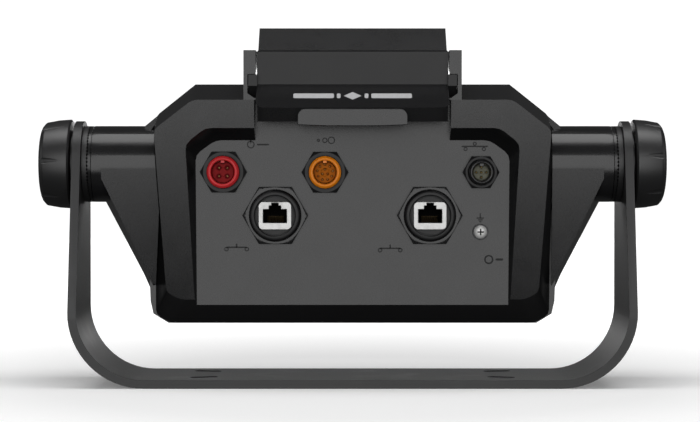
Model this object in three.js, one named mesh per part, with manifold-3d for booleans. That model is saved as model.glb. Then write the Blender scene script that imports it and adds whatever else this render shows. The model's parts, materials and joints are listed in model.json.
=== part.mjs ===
// Quick-release docking cradle of a chartplotter display, held in a tilting bail bracket.
//
// Millimetres, +Z up. +Y is the side on which the display docks, -Y is the cable side, and +X is to
// the right of a person who faces the cable side. The origin is the centre of the underside of the
// bail's base. Everything on the cradle is drawn from the tilt axis, which runs along X.

import * as THREE from 'three';
import { mergeVertices } from 'three/addons/utils/BufferGeometryUtils.js';
import Module from 'manifold-3d';

const wasm = await Module();
wasm.setup();

// ---------------------------------------------------------------- driving dimensions

const GAP = 0.3; // clearance between pieces that touch on the real object
const BEYOND = 1; // how far a cutter runs past the face that it opens
const WELD = 1e-4; // corners closer than this are one corner
const SEAM = 1.1; // the shadow gap between the rear cover and the wings beside it

const TILT_AXIS = { y: 9, z: 108.5 };

const BAIL = {
  innerHalfWidth: 133.5,
  thickness: 4.2,
  bendRadius: 37,
  halfDepth: 30.5,
  eyeletRadius: 21.5,
  leanHeight: 34,
  boreRadius: 4.6,
};
const BAIL_SLOT = { length: 14, width: 6, x: 72.7, farY: 16.4, nearY: -15, farTurn: 12, nearTurn: 18 };

const RATCHET = { teeth: 24, outer: 18.9, inner: 11, toothHeight: 0.8 };
const CRADLE_RATCHET = { base: 128.8, tip: 130.2 };
const BAIL_RATCHET = { base: 133.2, tip: 130.8 };

const TRUNNION = { radius: 18.95, start: 96, end: 128.5 };
const INSERT = { start: 112, radius: 7, bore: 4.2 };
const STUD = { start: 112.3, radius: 3.9, headStart: 142, headEnd: 147.3, acrossFlats: 13 };
const WASHER = { start: 138, end: 139.2, radius: 17, bore: 4.2 };
const KNOB = {
  start: 139.5,
  shoulder: 152.3,
  end: 154.7,
  rootRadius: 22.2,
  shoulderRadius: 20.7,
  domeRadius: 18.9,
  domeDepth: 0.9,
  rimRadius: 16.3,
  capRadius: 15.7,
  capSeat: 149.7,
  capChamfer: 0.5,
  grooves: 7,
};
const GROOVE = { start: 142.5, wideRadius: 3.2, narrowRadius: 0.5, wideCentre: 22.9, narrowCentre: 22.3 };
const RIGHT_GROOVE_PHASE = 11;
const LEFT_GROOVE_PHASE = 21.3;

// Outlines across the cradle list the right half from the bottom up, as [x, z].
const BODY = [[91.3, -78.9], [98.9, -74.3], [100.3, -68], [103.3, 19], [77.8, 39.4]];
const FRAME = { nearY: -8, farY: 14, wall: 3.2, ledge: 6, ledgeNearY: 9, ledgeFarY: 11.2 };
const WING = {
  nearY: -19,
  bottomNearY: -10,
  bottomZ: -70,
  near: [[95, -60], [98.4, -56.5], [101, -51.8], [103.3, -47.4], [123.5, -7], [123.5, 19], [95, 19]],
  far: [[95, -70], [100.3, -68], [105.7, -55.7], [109.9, -47.7], [125, -19], [125, 19], [95, 19]],
};

const COVER = {
  wall: 3,
  farY: -8.3,
  topNearY: -34,
  topZ: 31,
  lean: 0.135,
  near: [[84.5, -66.5], [91.3, -63], [96.5, 16.5], [77.5, 31]],
  far: [[90.5, -78.9], [97.6, -74.7], [97.6, 23.6], [77.8, 39.4]],
};
const RECESS = {
  nearY: -38,
  farY: -18,
  near: [[82.7, -90], [83.4, 12.3], [73.1, 19.8]],
  far: [[76.4, -90], [77.1, 4.5], [67.3, 11.6]],
};
const PANEL = { nearY: -18, farY: -15 };
const LATCH_SLOT = { halfWidth: 47.7, bottom: 3, top: 48 };
const EAR = {
  inner: 46.9,
  outer: 52.8,
  nearY: -34,
  farY: -12,
  bottom: 31,
  foot: 20,
  footNearY: -32,
  top: 55,
};
const EAR_POCKET = { outer: 50.9, lipNearZ: 31.9, lipFarZ: 34.1, lipDepth: 2.5, floor: 30.2, top: 43.5 };

const HINGE = { y: -24, z: 37.7, pinRadius: 2, boreRadius: 2.3, pinHalfLength: 52.4 };
const ARM = {
  halfWidth: 46.4,
  rib: 2.6,
  bossRadius: 5,
  bossStart: 38.6,
  cheekRadius: 5.5,
  cheekStart: 46.2,
  cheekEnd: 50.5,
  cheekFront: [[-34.2, 43.2], [-34.2, 37.7], [-29.4, 32.6]],
  planNear: -49,
  planFar: 33,
  planCorner: 6,
  profile: [
    [-49, 20.2], [-46.4, 20.2], [-46.4, 28], [-27.4, 40], [-27.4, 52], [-14, 53.4], [1, 65.1],
    [30.4, 65.1], [30.4, 57], [33, 57], [33, 65], [30, 67.7], [0, 67.7], [-15, 56], [-30, 54.4],
    [-30, 38.5], [-49, 26.6],
  ],
  ribProfile: [
    [-28, 44], [-14, 47.5], [2, 59.5], [31, 61.5], [31, 66], [0.5, 66], [-14.5, 54.6], [-28, 53],
  ],
};
const FINGER_PAD = { halfWidth: 26.2, bottom: 17.9, top: 26.1, nearY: -51.5, farY: -49.3, corner: 3.5 };
const SPRING = {
  start: 31,
  end: 37.4,
  turns: 4,
  coilRadius: 2.9,
  wireRadius: 0.4,
  panelFoot: [-18.9, 31],
  armFoot: [-26.4, 46],
};

const DOCK = { nearY: 14.3, floorY: 17.3, rimY: 22.3, clearance: 0.4, rim: 3 };
const DOCK_WINDOW = { halfWidth: 32, bottom: -18, top: 2 };
const DOCK_SHELF = {
  halfWidth: 58, bottom: -78.5, top: -75, lipTop: -70, lipNearY: 37, farY: 40, footTop: -64, footFarY: 20,
};
const DOCK_CONNECTOR = {
  clearance: 0.5,
  outerY: 24.5,
  flange: 3,
  flangeNearY: 10,
  pocketHalfWidth: 27,
  pocketY: 18.5,
  pocketBottom: -13,
  pocketTop: -3,
};
const DOCK_CONTACTS = {
  halfWidth: 26,
  nearY: 18.8,
  farY: 19.4,
  bottom: -12,
  top: -4,
  rows: [-10.5, -5.5],
  perRow: 8,
  pitch: 6,
  radius: 0.9,
  tipY: 23,
};
const DOCK_SEAL = { outerMargin: 4, innerMargin: 1.5, farY: 19.6 };
const DOCK_RIB = { x: 70, halfThickness: 1, bottom: -60, top: 20 };
const BUMPER = { x: 50, z: 26, length: 24, width: 8, corner: 3, nearY: 17.6, farY: 23 };
const CASE_SCREW = {
  places: [[88, 8], [84, -62]],
  boss: 4.5,
  hole: 2.1,
  holeStart: -16,
  shank: 1.8,
  point: 1.3,
  tipY: -15.6,
  head: 3.4,
  headHeight: 2.2,
  headSide: 1.2,
  recess: 3.2,
  recessDepth: 1.4,
};
const BOARD = { halfWidth: 75, bottom: -60, top: 20, nearY: -2, farY: -0.4 };
const BOARD_POST = {
  x: 70,
  bottom: -55,
  top: 15,
  radius: 3,
  screwHole: 1.2,
  holeStart: -12,
  boardHole: 1.6,
};

const POWER = { x: -63.4, z: -4 };
const SONAR = { x: -13.5, z: -4.1 };
const BUS = { x: 63, z: -4.1 };
const NETWORK = { x: 37.9, z: -25.3 };
const GROUND = {
  x: 62.8,
  z: -33.4,
  boss: 3.6,
  bossEnd: -9,
  hole: 1.75,
  washer: 3.9,
  washerNearY: -19.1,
};
const GROUND_SCREW = {
  shank: 1.45,
  tipY: -10.5,
  headFarY: -19.4,
  headY: -21.6,
  head: [[3.25, -20.4], [2.4, -21.3]],
  recess: 3.4,
  recessFloorY: -20,
};

const LARGE_SOCKET = {
  mouthY: -26.5, radius: 7.8, bore: 5.7, floorY: -16.8, flange: 10.5, tail: 7, acrossFlats: 20,
};
const BUS_SOCKET = {
  mouthY: -27.5, radius: 6.2, bore: 4.3, floorY: -16.8, flange: 9, tail: 5.5, acrossFlats: 15.6,
};
const NETWORK_SHELL = {
  mouthY: -27, radius: 12.4, bore: 9.8, floorY: -25, flange: 14.5, tail: 11.8, tailY: -9, acrossFlats: 28,
};
const JACK = { width: 16, height: 13.5, corner: 2.5, nearY: -25.5, farY: -8.5, openingFarY: -13.8 };
const JACK_OPENING = [[5.85, -3.55], [5.85, 3.2], [3, 3.2], [3, 4.95], [1.75, 4.95], [1.75, 6.3]];
const JACK_CONTACTS = {
  count: 8,
  pitch: 1.02,
  halfThickness: 0.25,
  finger: [[-22.8, -3.1], [-22.4, -3.1], [-14.9, -1.1], [-14.9, -0.6], [-15.2, -0.6]],
  bar: [-4, 4, -15.1, -14.3, -3.2, -0.4],
};

// ---------------------------------------------------------------- solids and outlines

function solidOf(geometry) {
  const bare = new THREE.BufferGeometry();
  bare.setAttribute('position', geometry.getAttribute('position'));
  bare.setIndex(geometry.index);
  const welded = mergeVertices(bare, WELD);
  const corners = welded.index.array;
  const faces = [];
  for (let i = 0; i < corners.length; i += 3) {
    const [a, b, c] = corners.slice(i, i + 3);
    if (a !== b && b !== c && c !== a) faces.push(a, b, c);
  }
  const mesh = new wasm.Mesh({
    numProp: 3,
    vertProperties: Float32Array.from(welded.getAttribute('position').array),
    triVerts: Uint32Array.from(faces),
  });
  return new wasm.Manifold(mesh);
}

function geometryOf(solid) {
  const mesh = solid.getMesh();
  const geometry = new THREE.BufferGeometry();
  geometry.setAttribute('position', new THREE.BufferAttribute(mesh.vertProperties, 3));
  geometry.setIndex(new THREE.BufferAttribute(mesh.triVerts, 1));
  geometry.computeVertexNormals();
  return geometry;
}

const joined = (solids) => solids.reduce((all, solid) => all.add(solid));
const without = (solid, cutters) => cutters.reduce((rest, cutter) => rest.subtract(cutter), solid);

function vectors(points) {
  return points.map(([u, v]) => new THREE.Vector2(u, v));
}

function outline(points, holes = []) {
  const shape = new THREE.Shape(vectors(points));
  shape.holes = holes.map((hole) => new THREE.Path(vectors(hole)));
  return shape;
}

function circle(radius, [u, v] = [0, 0], sides = 20) {
  return Array.from({ length: sides }, (_, i) => {
    const angle = (2 * Math.PI * i) / sides;
    return [u + radius * Math.cos(angle), v + radius * Math.sin(angle)];
  });
}

// A hexagon with two corners on the outline's first axis.
const hexagon = (acrossFlats, centre) => circle(acrossFlats / Math.sqrt(3), centre, 6);

const rectangle = (u0, v0, u1, v1) => [[u0, v0], [u1, v0], [u1, v1], [u0, v1]];

const shifted = (points, [u, v]) => points.map(([a, b]) => [a + u, b + v]);

function mirrored(rightHalf) {
  const leftHalf = rightHalf.map(([x, z]) => [-x, z]).reverse();
  return [...rightHalf, ...leftHalf];
}

// Moves every side of a counter-clockwise outline outwards, or inwards by a negative distance.
function offset(points, distance) {
  const sideNormal = ([x0, z0], [x1, z1]) => new THREE.Vector2(z1 - z0, x0 - x1).normalize();
  return points.map((point, i) => {
    const before = sideNormal(points.at(i - 1), point);
    const after = sideNormal(point, points[(i + 1) % points.length]);
    const reach = distance / (1 + before.dot(after));
    return [point[0] + (before.x + after.x) * reach, point[1] + (before.y + after.y) * reach];
  });
}

// Replaces each corner with a short curve that leaves both sides at the distance cut.
function softened(points, cut, steps = 2) {
  return points.flatMap((point, i) => {
    const corner = new THREE.Vector2(...point);
    const towards = (other) => new THREE.Vector2(...other).sub(corner).setLength(cut).add(corner);
    const curve = new THREE.QuadraticBezierCurve(
      towards(points.at(i - 1)), corner, towards(points[(i + 1) % points.length]),
    );
    return curve.getPoints(steps).map(({ x, y }) => [x, y]);
  });
}

const X = new THREE.Vector3(1, 0, 0);
const Y = new THREE.Vector3(0, 1, 0);
const Z = new THREE.Vector3(0, 0, 1);

// An outline drawn across an axis and pulled along it: [y, z] along x, [x, z] along y, [x, y] along z.
const PRISM_BASES = {
  x: new THREE.Matrix4().makeBasis(Y, Z, X),
  y: new THREE.Matrix4().makeBasis(X, Z, Y.clone().negate()),
  z: new THREE.Matrix4().makeBasis(X, Y, Z),
};

function prism(axis, shape, from, to) {
  const settings = { depth: to - from, bevelEnabled: false, curveSegments: 5 };
  const geometry = new THREE.ExtrudeGeometry(shape, settings).applyMatrix4(PRISM_BASES[axis]);
  const start = { x: X, y: Y, z: Z }[axis].clone().multiplyScalar(axis === 'y' ? to : from);
  return solidOf(geometry.translate(start.x, start.y, start.z));
}

const block = (x0, x1, y0, y1, z0, z1) => prism('z', outline(rectangle(x0, y0, x1, y1)), z0, z1);

// A turned piece. Its profile lists [radius, place along the axis] and may stay off the axis.
const TURNED_BASES = {
  x: new THREE.Matrix4().makeBasis(Z, X, Y),
  y: new THREE.Matrix4(),
};

function turned(axis, profile, sides = 20) {
  const points = vectors(profile);
  if (THREE.ShapeUtils.isClockWise(points)) points.reverse();
  if (points[0].x > 0) points.push(points[0].clone());
  return solidOf(new THREE.LatheGeometry(points, sides).applyMatrix4(TURNED_BASES[axis]));
}

const rod = (axis, radius, from, to, sides) => turned(
  axis, [[0, from], [radius, from], [radius, to], [0, to]], sides,
);

const tube = (axis, outer, inner, from, to, sides) => turned(
  axis, [[inner, from], [outer, from], [outer, to], [inner, to]], sides,
);

// A solid between two outlines with as many corners, each listed as [x, y, z] from the -Y side.
function loft(near, far) {
  const faces = [];
  const cap = THREE.ShapeUtils.triangulateShape(vectors(near.map(([x, , z]) => [x, z])), []);
  const count = near.length;
  for (const [a, b, c] of cap) faces.push(a, b, c, count + c, count + b, count + a);
  for (let i = 0; i < count; i += 1) {
    const next = (i + 1) % count;
    faces.push(i, count + i, next, next, count + i, count + next);
  }
  const geometry = new THREE.BufferGeometry();
  geometry.setAttribute('position', new THREE.Float32BufferAttribute([...near, ...far].flat(), 3));
  geometry.setIndex(faces);
  return solidOf(geometry);
}

const at = (points, y) => points.map(([x, z]) => [x, y, z]);

// ---------------------------------------------------------------- materials and assembly

const FINISHES = {
  coatedMetal: { color: 0x38383a, roughness: 0.5, metalness: 0.3 },
  moulding: { color: 0x333335, roughness: 0.6, metalness: 0 },
  darkMoulding: { color: 0x232325, roughness: 0.55, metalness: 0 },
  rubber: { color: 0x1b1b1c, roughness: 0.9, metalness: 0 },
  steel: { color: 0xb9bbbd, roughness: 0.3, metalness: 1 },
  brass: { color: 0xb89655, roughness: 0.35, metalness: 1 },
  gold: { color: 0xd9b45f, roughness: 0.3, metalness: 1 },
  nickel: { color: 0xdcdcda, roughness: 0.35, metalness: 0.7 },
  red: { color: 0xb8262f, roughness: 0.45, metalness: 0 },
  orange: { color: 0xd9772a, roughness: 0.45, metalness: 0 },
  board: { color: 0x1f5a38, roughness: 0.6, metalness: 0 },
};

function addPiece(group, name, solid, finish) {
  const mesh = new THREE.Mesh(geometryOf(solid), new THREE.MeshStandardMaterial(FINISHES[finish]));
  mesh.name = name;
  group.add(mesh);
  return mesh;
}

// ---------------------------------------------------------------- bail bracket

function bailBracket() {
  const { innerHalfWidth: inner, thickness, bendRadius: bend, halfDepth } = BAIL;
  const outer = inner + thickness;
  const bendX = outer - bend;
  const top = TILT_AXIS.z + BAIL.eyeletRadius + BEYOND;
  const channel = new THREE.Shape();
  channel.moveTo(-outer, top);
  channel.absarc(-bendX, bend, bend, Math.PI, 1.5 * Math.PI, false);
  channel.absarc(bendX, bend, bend, 1.5 * Math.PI, 2 * Math.PI, false);
  channel.lineTo(outer, top);
  channel.lineTo(inner, top);
  channel.absarc(bendX, bend, bend - thickness, 2 * Math.PI, 1.5 * Math.PI, true);
  channel.absarc(-bendX, bend, bend - thickness, 1.5 * Math.PI, Math.PI, true);
  channel.lineTo(-inner, top);

  const leanStart = new THREE.Vector2(-halfDepth - TILT_AXIS.y, BAIL.leanHeight - TILT_AXIS.z);
  const touch = Math.acos(BAIL.eyeletRadius / leanStart.length());
  const side = new THREE.Shape();
  side.moveTo(-halfDepth, 0);
  side.lineTo(halfDepth, 0);
  side.absarc(TILT_AXIS.y, TILT_AXIS.z, BAIL.eyeletRadius, 0, leanStart.angle() - touch, false);
  side.lineTo(-halfDepth, BAIL.leanHeight);

  const sheet = prism('y', channel, -halfDepth - BEYOND, halfDepth + BEYOND);
  const bore = rod('x', BAIL.boreRadius, -outer - BEYOND, outer + BEYOND, 16);
  const cutters = [bore.translate([0, TILT_AXIS.y, TILT_AXIS.z]), ...bailSlots()];
  return without(sheet.intersect(prism('x', side, -outer, outer)), cutters);
}

function bailSlots() {
  const { length, width, x, farY, nearY, farTurn, nearTurn } = BAIL_SLOT;
  const slot = new THREE.Shape();
  const endX = (length - width) / 2;
  slot.absarc(endX, 0, width / 2, -Math.PI / 2, Math.PI / 2, false);
  slot.absarc(-endX, 0, width / 2, Math.PI / 2, 1.5 * Math.PI, false);
  const cutter = prism('z', slot, -BEYOND, BAIL.thickness + BEYOND);
  return [-1, 1].flatMap((side) => [
    cutter.rotate([0, 0, side * farTurn]).translate([side * x, farY, 0]),
    cutter.rotate([0, 0, -side * nearTurn]).translate([side * x, nearY, 0]),
  ]);
}

// A ring whose face carries radial triangular teeth that point along +X.
function ratchetRing(base, tip) {
  const { teeth, outer, inner, toothHeight } = RATCHET;
  const stations = 2 * teeth;
  const corners = [];
  const faces = [];
  for (let i = 0; i < stations; i += 1) {
    const angle = (Math.PI * i) / teeth;
    const face = i % 2 ? tip : tip - toothHeight;
    for (const [x, radius] of [[face, inner], [face, outer], [base, outer], [base, inner]]) {
      corners.push(x, radius * Math.cos(angle), radius * Math.sin(angle));
    }
    const here = 4 * i;
    const next = 4 * ((i + 1) % stations);
    for (let side = 0; side < 4; side += 1) {
      const turn = (side + 1) % 4;
      faces.push(here + side, here + turn, next + turn, here + side, next + turn, next + side);
    }
  }
  const geometry = new THREE.BufferGeometry();
  geometry.setAttribute('position', new THREE.Float32BufferAttribute(corners, 3));
  geometry.setIndex(faces);
  return solidOf(geometry);
}

// ---------------------------------------------------------------- tilt knobs

function knob(groovePhase) {
  const body = turned('x', [
    [STUD.radius + GAP, KNOB.start],
    [KNOB.rootRadius, KNOB.start],
    [KNOB.shoulderRadius, KNOB.shoulder],
    [KNOB.domeRadius, KNOB.end - KNOB.domeDepth],
    [KNOB.rimRadius, KNOB.end],
    [KNOB.capRadius + GAP, KNOB.end],
    [KNOB.capRadius + GAP, KNOB.capSeat],
    [STUD.radius + GAP, KNOB.capSeat],
  ], 21);
  const pocket = outline(hexagon(STUD.acrossFlats + 2 * GAP));
  const cutters = [prism('x', pocket, STUD.headStart - GAP, KNOB.capSeat + BEYOND)];
  for (let i = 0; i < KNOB.grooves; i += 1) {
    cutters.push(knobGroove(groovePhase + (360 * i) / KNOB.grooves));
  }
  return without(body, cutters);
}

// A groove in the knob's rim, wide and deep at its outer end. The angle starts at -Y and rises to +Z.
function knobGroove(angle) {
  const length = KNOB.end + BEYOND - GROOVE.start;
  const cone = new THREE.CylinderGeometry(GROOVE.wideRadius, GROOVE.narrowRadius, length, 6);
  const tilt = Math.atan2(GROOVE.wideCentre - GROOVE.narrowCentre, length);
  cone.rotateZ(-Math.PI / 2).rotateY(tilt);
  cone.translate(GROOVE.start + length / 2, 0, (GROOVE.wideCentre + GROOVE.narrowCentre) / 2);
  cone.rotateX(Math.PI / 2 - (angle * Math.PI) / 180);
  return solidOf(cone);
}

function knobStud() {
  const shank = rod('x', STUD.radius, STUD.start, STUD.headStart + BEYOND, 16);
  return shank.add(prism('x', outline(hexagon(STUD.acrossFlats)), STUD.headStart, STUD.headEnd));
}

function knobCap() {
  const { capRadius, capSeat, capChamfer, end } = KNOB;
  return turned('x', [
    [0, capSeat + GAP], [capRadius, capSeat + GAP], [capRadius, end - capChamfer],
    [capRadius - capChamfer, end], [0, end],
  ], 21);
}

// Everything at one end of the tilt axis is drawn at +X. The left end is the same, turned about Z.
function addTiltEnd(cradle, side, turn, groovePhase) {
  const end = new THREE.Group();
  end.rotation.z = turn;
  cradle.add(end);
  const { base, tip } = CRADLE_RATCHET;
  const bailRing = ratchetRing(-BAIL_RATCHET.base, -BAIL_RATCHET.tip);
  const insert = tube('x', INSERT.radius, INSERT.bore, INSERT.start, TRUNNION.end, 16);
  const washer = tube('x', WASHER.radius, WASHER.bore, WASHER.start, WASHER.end);
  addPiece(end, `cradle_ratchet_${side}`, ratchetRing(base, tip), 'moulding');
  addPiece(end, `bail_ratchet_${side}`, bailRing.rotate([0, 0, 180]), 'coatedMetal');
  addPiece(end, `trunnion_insert_${side}`, insert, 'brass');
  addPiece(end, `knob_washer_${side}`, washer, 'darkMoulding');
  addPiece(end, `knob_stud_${side}`, knobStud(), 'steel');
  addPiece(end, `knob_${side}`, knob(groovePhase), 'darkMoulding');
  addPiece(end, `knob_cap_${side}`, knobCap(), 'darkMoulding');
}

// ---------------------------------------------------------------- cradle frame

function wing() {
  const profile = new THREE.Shape();
  const nearFoot = new THREE.Vector2(WING.bottomNearY, WING.bottomZ);
  const farFoot = new THREE.Vector2(FRAME.farY, WING.bottomZ);
  const touch = (foot) => Math.acos(TRUNNION.radius / foot.length());
  profile.moveTo(nearFoot.x, nearFoot.y);
  profile.lineTo(farFoot.x, farFoot.y);
  const start = farFoot.angle() + touch(farFoot) - 2 * Math.PI;
  profile.absarc(0, 0, TRUNNION.radius, start, nearFoot.angle() - touch(nearFoot), false);
  const web = loft(at(WING.near, WING.nearY), at(WING.far, FRAME.farY + BEYOND));
  return web.intersect(prism('x', profile, TRUNNION.start - BEYOND, TRUNNION.end));
}

function cradleFrame() {
  const body = mirrored(BODY);
  const ring = prism('y', outline(body), FRAME.nearY, FRAME.farY);
  const rightWing = wing().add(rod('x', TRUNNION.radius, TRUNNION.start, TRUNNION.end, 28));
  const wings = rightWing.add(rightWing.mirror([1, 0, 0]));
  const inside = outline(softened(offset(body, -FRAME.wall), 1.2, 1));
  const insideLedge = outline(softened(offset(body, -FRAME.ledge), 1.2, 1));
  const bores = [-1, 1].map((side) => {
    const bore = rod('x', INSERT.radius + GAP, INSERT.start - GAP, TRUNNION.end + BEYOND, 16);
    return side > 0 ? bore : bore.mirror([1, 0, 0]);
  });
  return without(ring.add(wings), [
    prism('y', inside, FRAME.nearY - BEYOND, FRAME.ledgeNearY),
    prism('y', insideLedge, FRAME.ledgeNearY - BEYOND, FRAME.ledgeFarY + BEYOND),
    prism('y', inside, FRAME.ledgeFarY, FRAME.farY + BEYOND),
    prism('y', outline(offset(body, GAP)), FRAME.farY, TRUNNION.radius + BEYOND),
    coverBlock(-SEAM, FRAME.nearY),
    ...bores,
  ]);
}

function frameSeal() {
  const body = mirrored(BODY);
  const outer = softened(offset(body, -FRAME.wall - GAP), 1.2, 1);
  const inner = softened(offset(body, -FRAME.ledge + 0.5), 1.2, 1);
  return prism('y', outline(outer, [inner]), FRAME.ledgeFarY + GAP, FRAME.farY);
}

// ---------------------------------------------------------------- rear cover

// The cover's outer form, its sides moved in by a distance.
function coverBlock(inset, farY) {
  const { near, far, topNearY, topZ, lean } = COVER;
  const cut = 2.5;
  const nearOutline = softened(offset(mirrored(near), -inset), cut);
  const farOutline = softened(offset(mirrored(far), -inset), cut);
  const nearFace = nearOutline.map(([x, z]) => [x, topNearY + inset + (topZ - z) * lean, z]);
  return loft(nearFace, at(farOutline, farY));
}

// The recess that holds the sockets, open at the bottom, its walls moved out by a distance.
function recess(growth) {
  const cut = 3;
  const near = softened(offset(mirrored(RECESS.near), growth), cut);
  const far = softened(offset(mirrored(RECESS.far), growth), cut);
  return loft(at(near, RECESS.nearY), at(far, RECESS.farY + growth));
}

function latchSlot(growth) {
  const halfWidth = LATCH_SLOT.halfWidth + growth;
  return block(
    -halfWidth, halfWidth, RECESS.nearY, PANEL.nearY + growth, LATCH_SLOT.bottom - growth, LATCH_SLOT.top,
  );
}

// An upright beside the latch slot. Its pocket holds the latch arm's cheek and the end of the pin.
function ear() {
  const { inner, outer, nearY, farY, bottom, foot, footNearY, top } = EAR;
  const body = block(inner, outer, nearY, farY, bottom, top);
  return body.add(block(LATCH_SLOT.halfWidth, outer, footNearY, farY, foot, bottom));
}

function earPocket() {
  const { outer, lipNearZ, lipFarZ, lipDepth, floor, top } = EAR_POCKET;
  const inner = EAR.inner - BEYOND;
  const mouth = outline([
    [inner, lipNearZ], [LATCH_SLOT.halfWidth, lipNearZ], [outer, lipFarZ], [outer, top], [inner, top],
  ]);
  const farY = HINGE.y + ARM.cheekRadius + 2 * BEYOND;
  const behindLip = block(inner, outer, EAR.nearY + lipDepth, farY, floor, top);
  return prism('y', mouth, EAR.nearY - BEYOND, farY).add(behindLip);
}

// Bosses for the case screws and posts for the circuit board, inside the cover.
function coverBosses() {
  const { places, boss } = CASE_SCREW;
  const { x, bottom, top, radius } = BOARD_POST;
  const screwBoss = rod('y', boss, EAR.nearY, COVER.farY, 12);
  const boardPost = rod('y', radius, PANEL.farY - BEYOND, BOARD.nearY - GAP, 10);
  const groundBoss = rod('y', GROUND.boss, PANEL.farY - BEYOND, GROUND.bossEnd, 10);
  const bosses = [-1, 1].flatMap((side) => [
    ...places.map(([screwX, z]) => screwBoss.translate([side * screwX, 0, z])),
    ...[bottom, top].map((z) => boardPost.translate([side * x, 0, z])),
  ]);
  return joined([...bosses, groundBoss.translate([GROUND.x, 0, GROUND.z])]);
}

function coverHoles() {
  const hole = ({ x, z }, radius, from = PANEL.nearY, to = BOARD.nearY, sides = 20) => (
    rod('y', radius, from - BEYOND, to, sides).translate([x, 0, z])
  );
  const smallHoleSides = 10;
  const { places, hole: screwHole, holeStart } = CASE_SCREW;
  const { boreRadius, y, z: hingeZ } = HINGE;
  const hingeBore = rod('x', boreRadius, -EAR.outer - BEYOND, EAR.outer + BEYOND, 16);
  const holes = [
    hole(POWER, LARGE_SOCKET.radius + GAP),
    hole(SONAR, LARGE_SOCKET.radius + GAP),
    hole(BUS, BUS_SOCKET.radius + GAP),
    hole(GROUND, GROUND.hole, PANEL.nearY, BOARD.nearY, smallHoleSides),
    hingeBore.translate([0, y, hingeZ]),
  ];
  for (const side of [-1, 1]) {
    holes.push(hole({ x: side * NETWORK.x, z: NETWORK.z }, NETWORK_SHELL.radius + GAP));
    for (const [x, z] of places) {
      holes.push(hole({ x: side * x, z }, screwHole, holeStart, BOARD.nearY, smallHoleSides));
    }
    for (const z of [BOARD_POST.bottom, BOARD_POST.top]) {
      const { x, screwHole: postHole, holeStart: postHoleStart } = BOARD_POST;
      holes.push(hole({ x: side * x, z }, postHole, postHoleStart, 0, smallHoleSides));
    }
  }
  return holes;
}

function rearCover() {
  const outside = without(coverBlock(0, COVER.farY), [recess(0), latchSlot(0)]);
  const { wall, farY } = COVER;
  const cavity = without(coverBlock(wall, farY + BEYOND), [recess(wall), latchSlot(wall)]);
  const insideTheSkin = 0.5;
  const room = coverBlock(insideTheSkin, BOARD.nearY).subtract(recess(insideTheSkin));
  const bosses = coverBosses().intersect(room);
  const bothSides = (solid) => solid.add(solid.mirror([1, 0, 0]));
  const shell = joined([outside.subtract(cavity), bosses, bothSides(ear())]);
  return without(shell, [bothSides(earPocket()), ...coverHoles()]);
}

// ---------------------------------------------------------------- latch

function latchArm() {
  const { halfWidth, rib, bossRadius, bossStart, cheekStart, cheekEnd, profile, ribProfile } = ARM;
  const plan = softened(rectangle(-halfWidth, ARM.planNear, halfWidth, ARM.planFar), ARM.planCorner, 5);
  const corners = prism('z', outline(plan), 0, EAR.top + ARM.planFar);
  const plate = prism('x', outline(profile), -halfWidth, halfWidth).intersect(corners);
  const cheek = new THREE.Shape();
  cheek.setFromPoints(vectors(ARM.cheekFront));
  cheek.absarc(HINGE.y, HINGE.z, ARM.cheekRadius, -Math.PI / 2, Math.PI / 2, false);
  const sides = [-1, 1].map((side) => {
    const parts = joined([
      prism('x', cheek, cheekStart, cheekEnd),
      prism('x', outline(ribProfile), halfWidth - rib, halfWidth),
      rod('x', bossRadius, bossStart, halfWidth, 16).translate([0, HINGE.y, HINGE.z]),
    ]);
    return side > 0 ? parts : parts.mirror([1, 0, 0]);
  });
  const bore = rod('x', HINGE.boreRadius, -cheekEnd - BEYOND, cheekEnd + BEYOND, 16);
  return joined([plate, ...sides]).subtract(bore.translate([0, HINGE.y, HINGE.z]));
}

function fingerPad() {
  const { halfWidth, bottom, top, nearY, farY, corner } = FINGER_PAD;
  const shape = new THREE.Shape();
  shape.moveTo(-halfWidth, bottom);
  shape.lineTo(halfWidth, bottom);
  shape.absarc(halfWidth - corner, top - corner, corner, 0, Math.PI / 2, false);
  shape.absarc(-halfWidth + corner, top - corner, corner, Math.PI / 2, Math.PI, false);
  return prism('y', shape, nearY, farY);
}

// A torsion spring round the hinge pin, with one leg on the panel and one on the latch arm.
function latchSpring() {
  const { start, end, turns, coilRadius, wireRadius } = SPRING;
  const firstAngle = -Math.PI / 6;
  const lastAngle = 2 * Math.PI * (turns - 1) + (5 * Math.PI) / 6;
  const onCoil = (share) => {
    const angle = THREE.MathUtils.lerp(firstAngle, lastAngle, share);
    return new THREE.Vector3(
      THREE.MathUtils.lerp(start, end, share),
      HINGE.y + coilRadius * Math.cos(angle),
      HINGE.z + coilRadius * Math.sin(angle),
    );
  };
  const stations = 10 * turns;
  const points = [
    new THREE.Vector3(start, ...SPRING.panelFoot),
    ...Array.from({ length: stations + 1 }, (_, i) => onCoil(i / stations)),
    new THREE.Vector3(end, ...SPRING.armFoot),
  ];
  const path = new THREE.CatmullRomCurve3(points, false, 'centripetal');
  const section = outline(circle(wireRadius, [0, 0], 4));
  return solidOf(new THREE.ExtrudeGeometry(section, { steps: stations + 8, extrudePath: path }));
}

// ---------------------------------------------------------------- dock side

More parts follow.
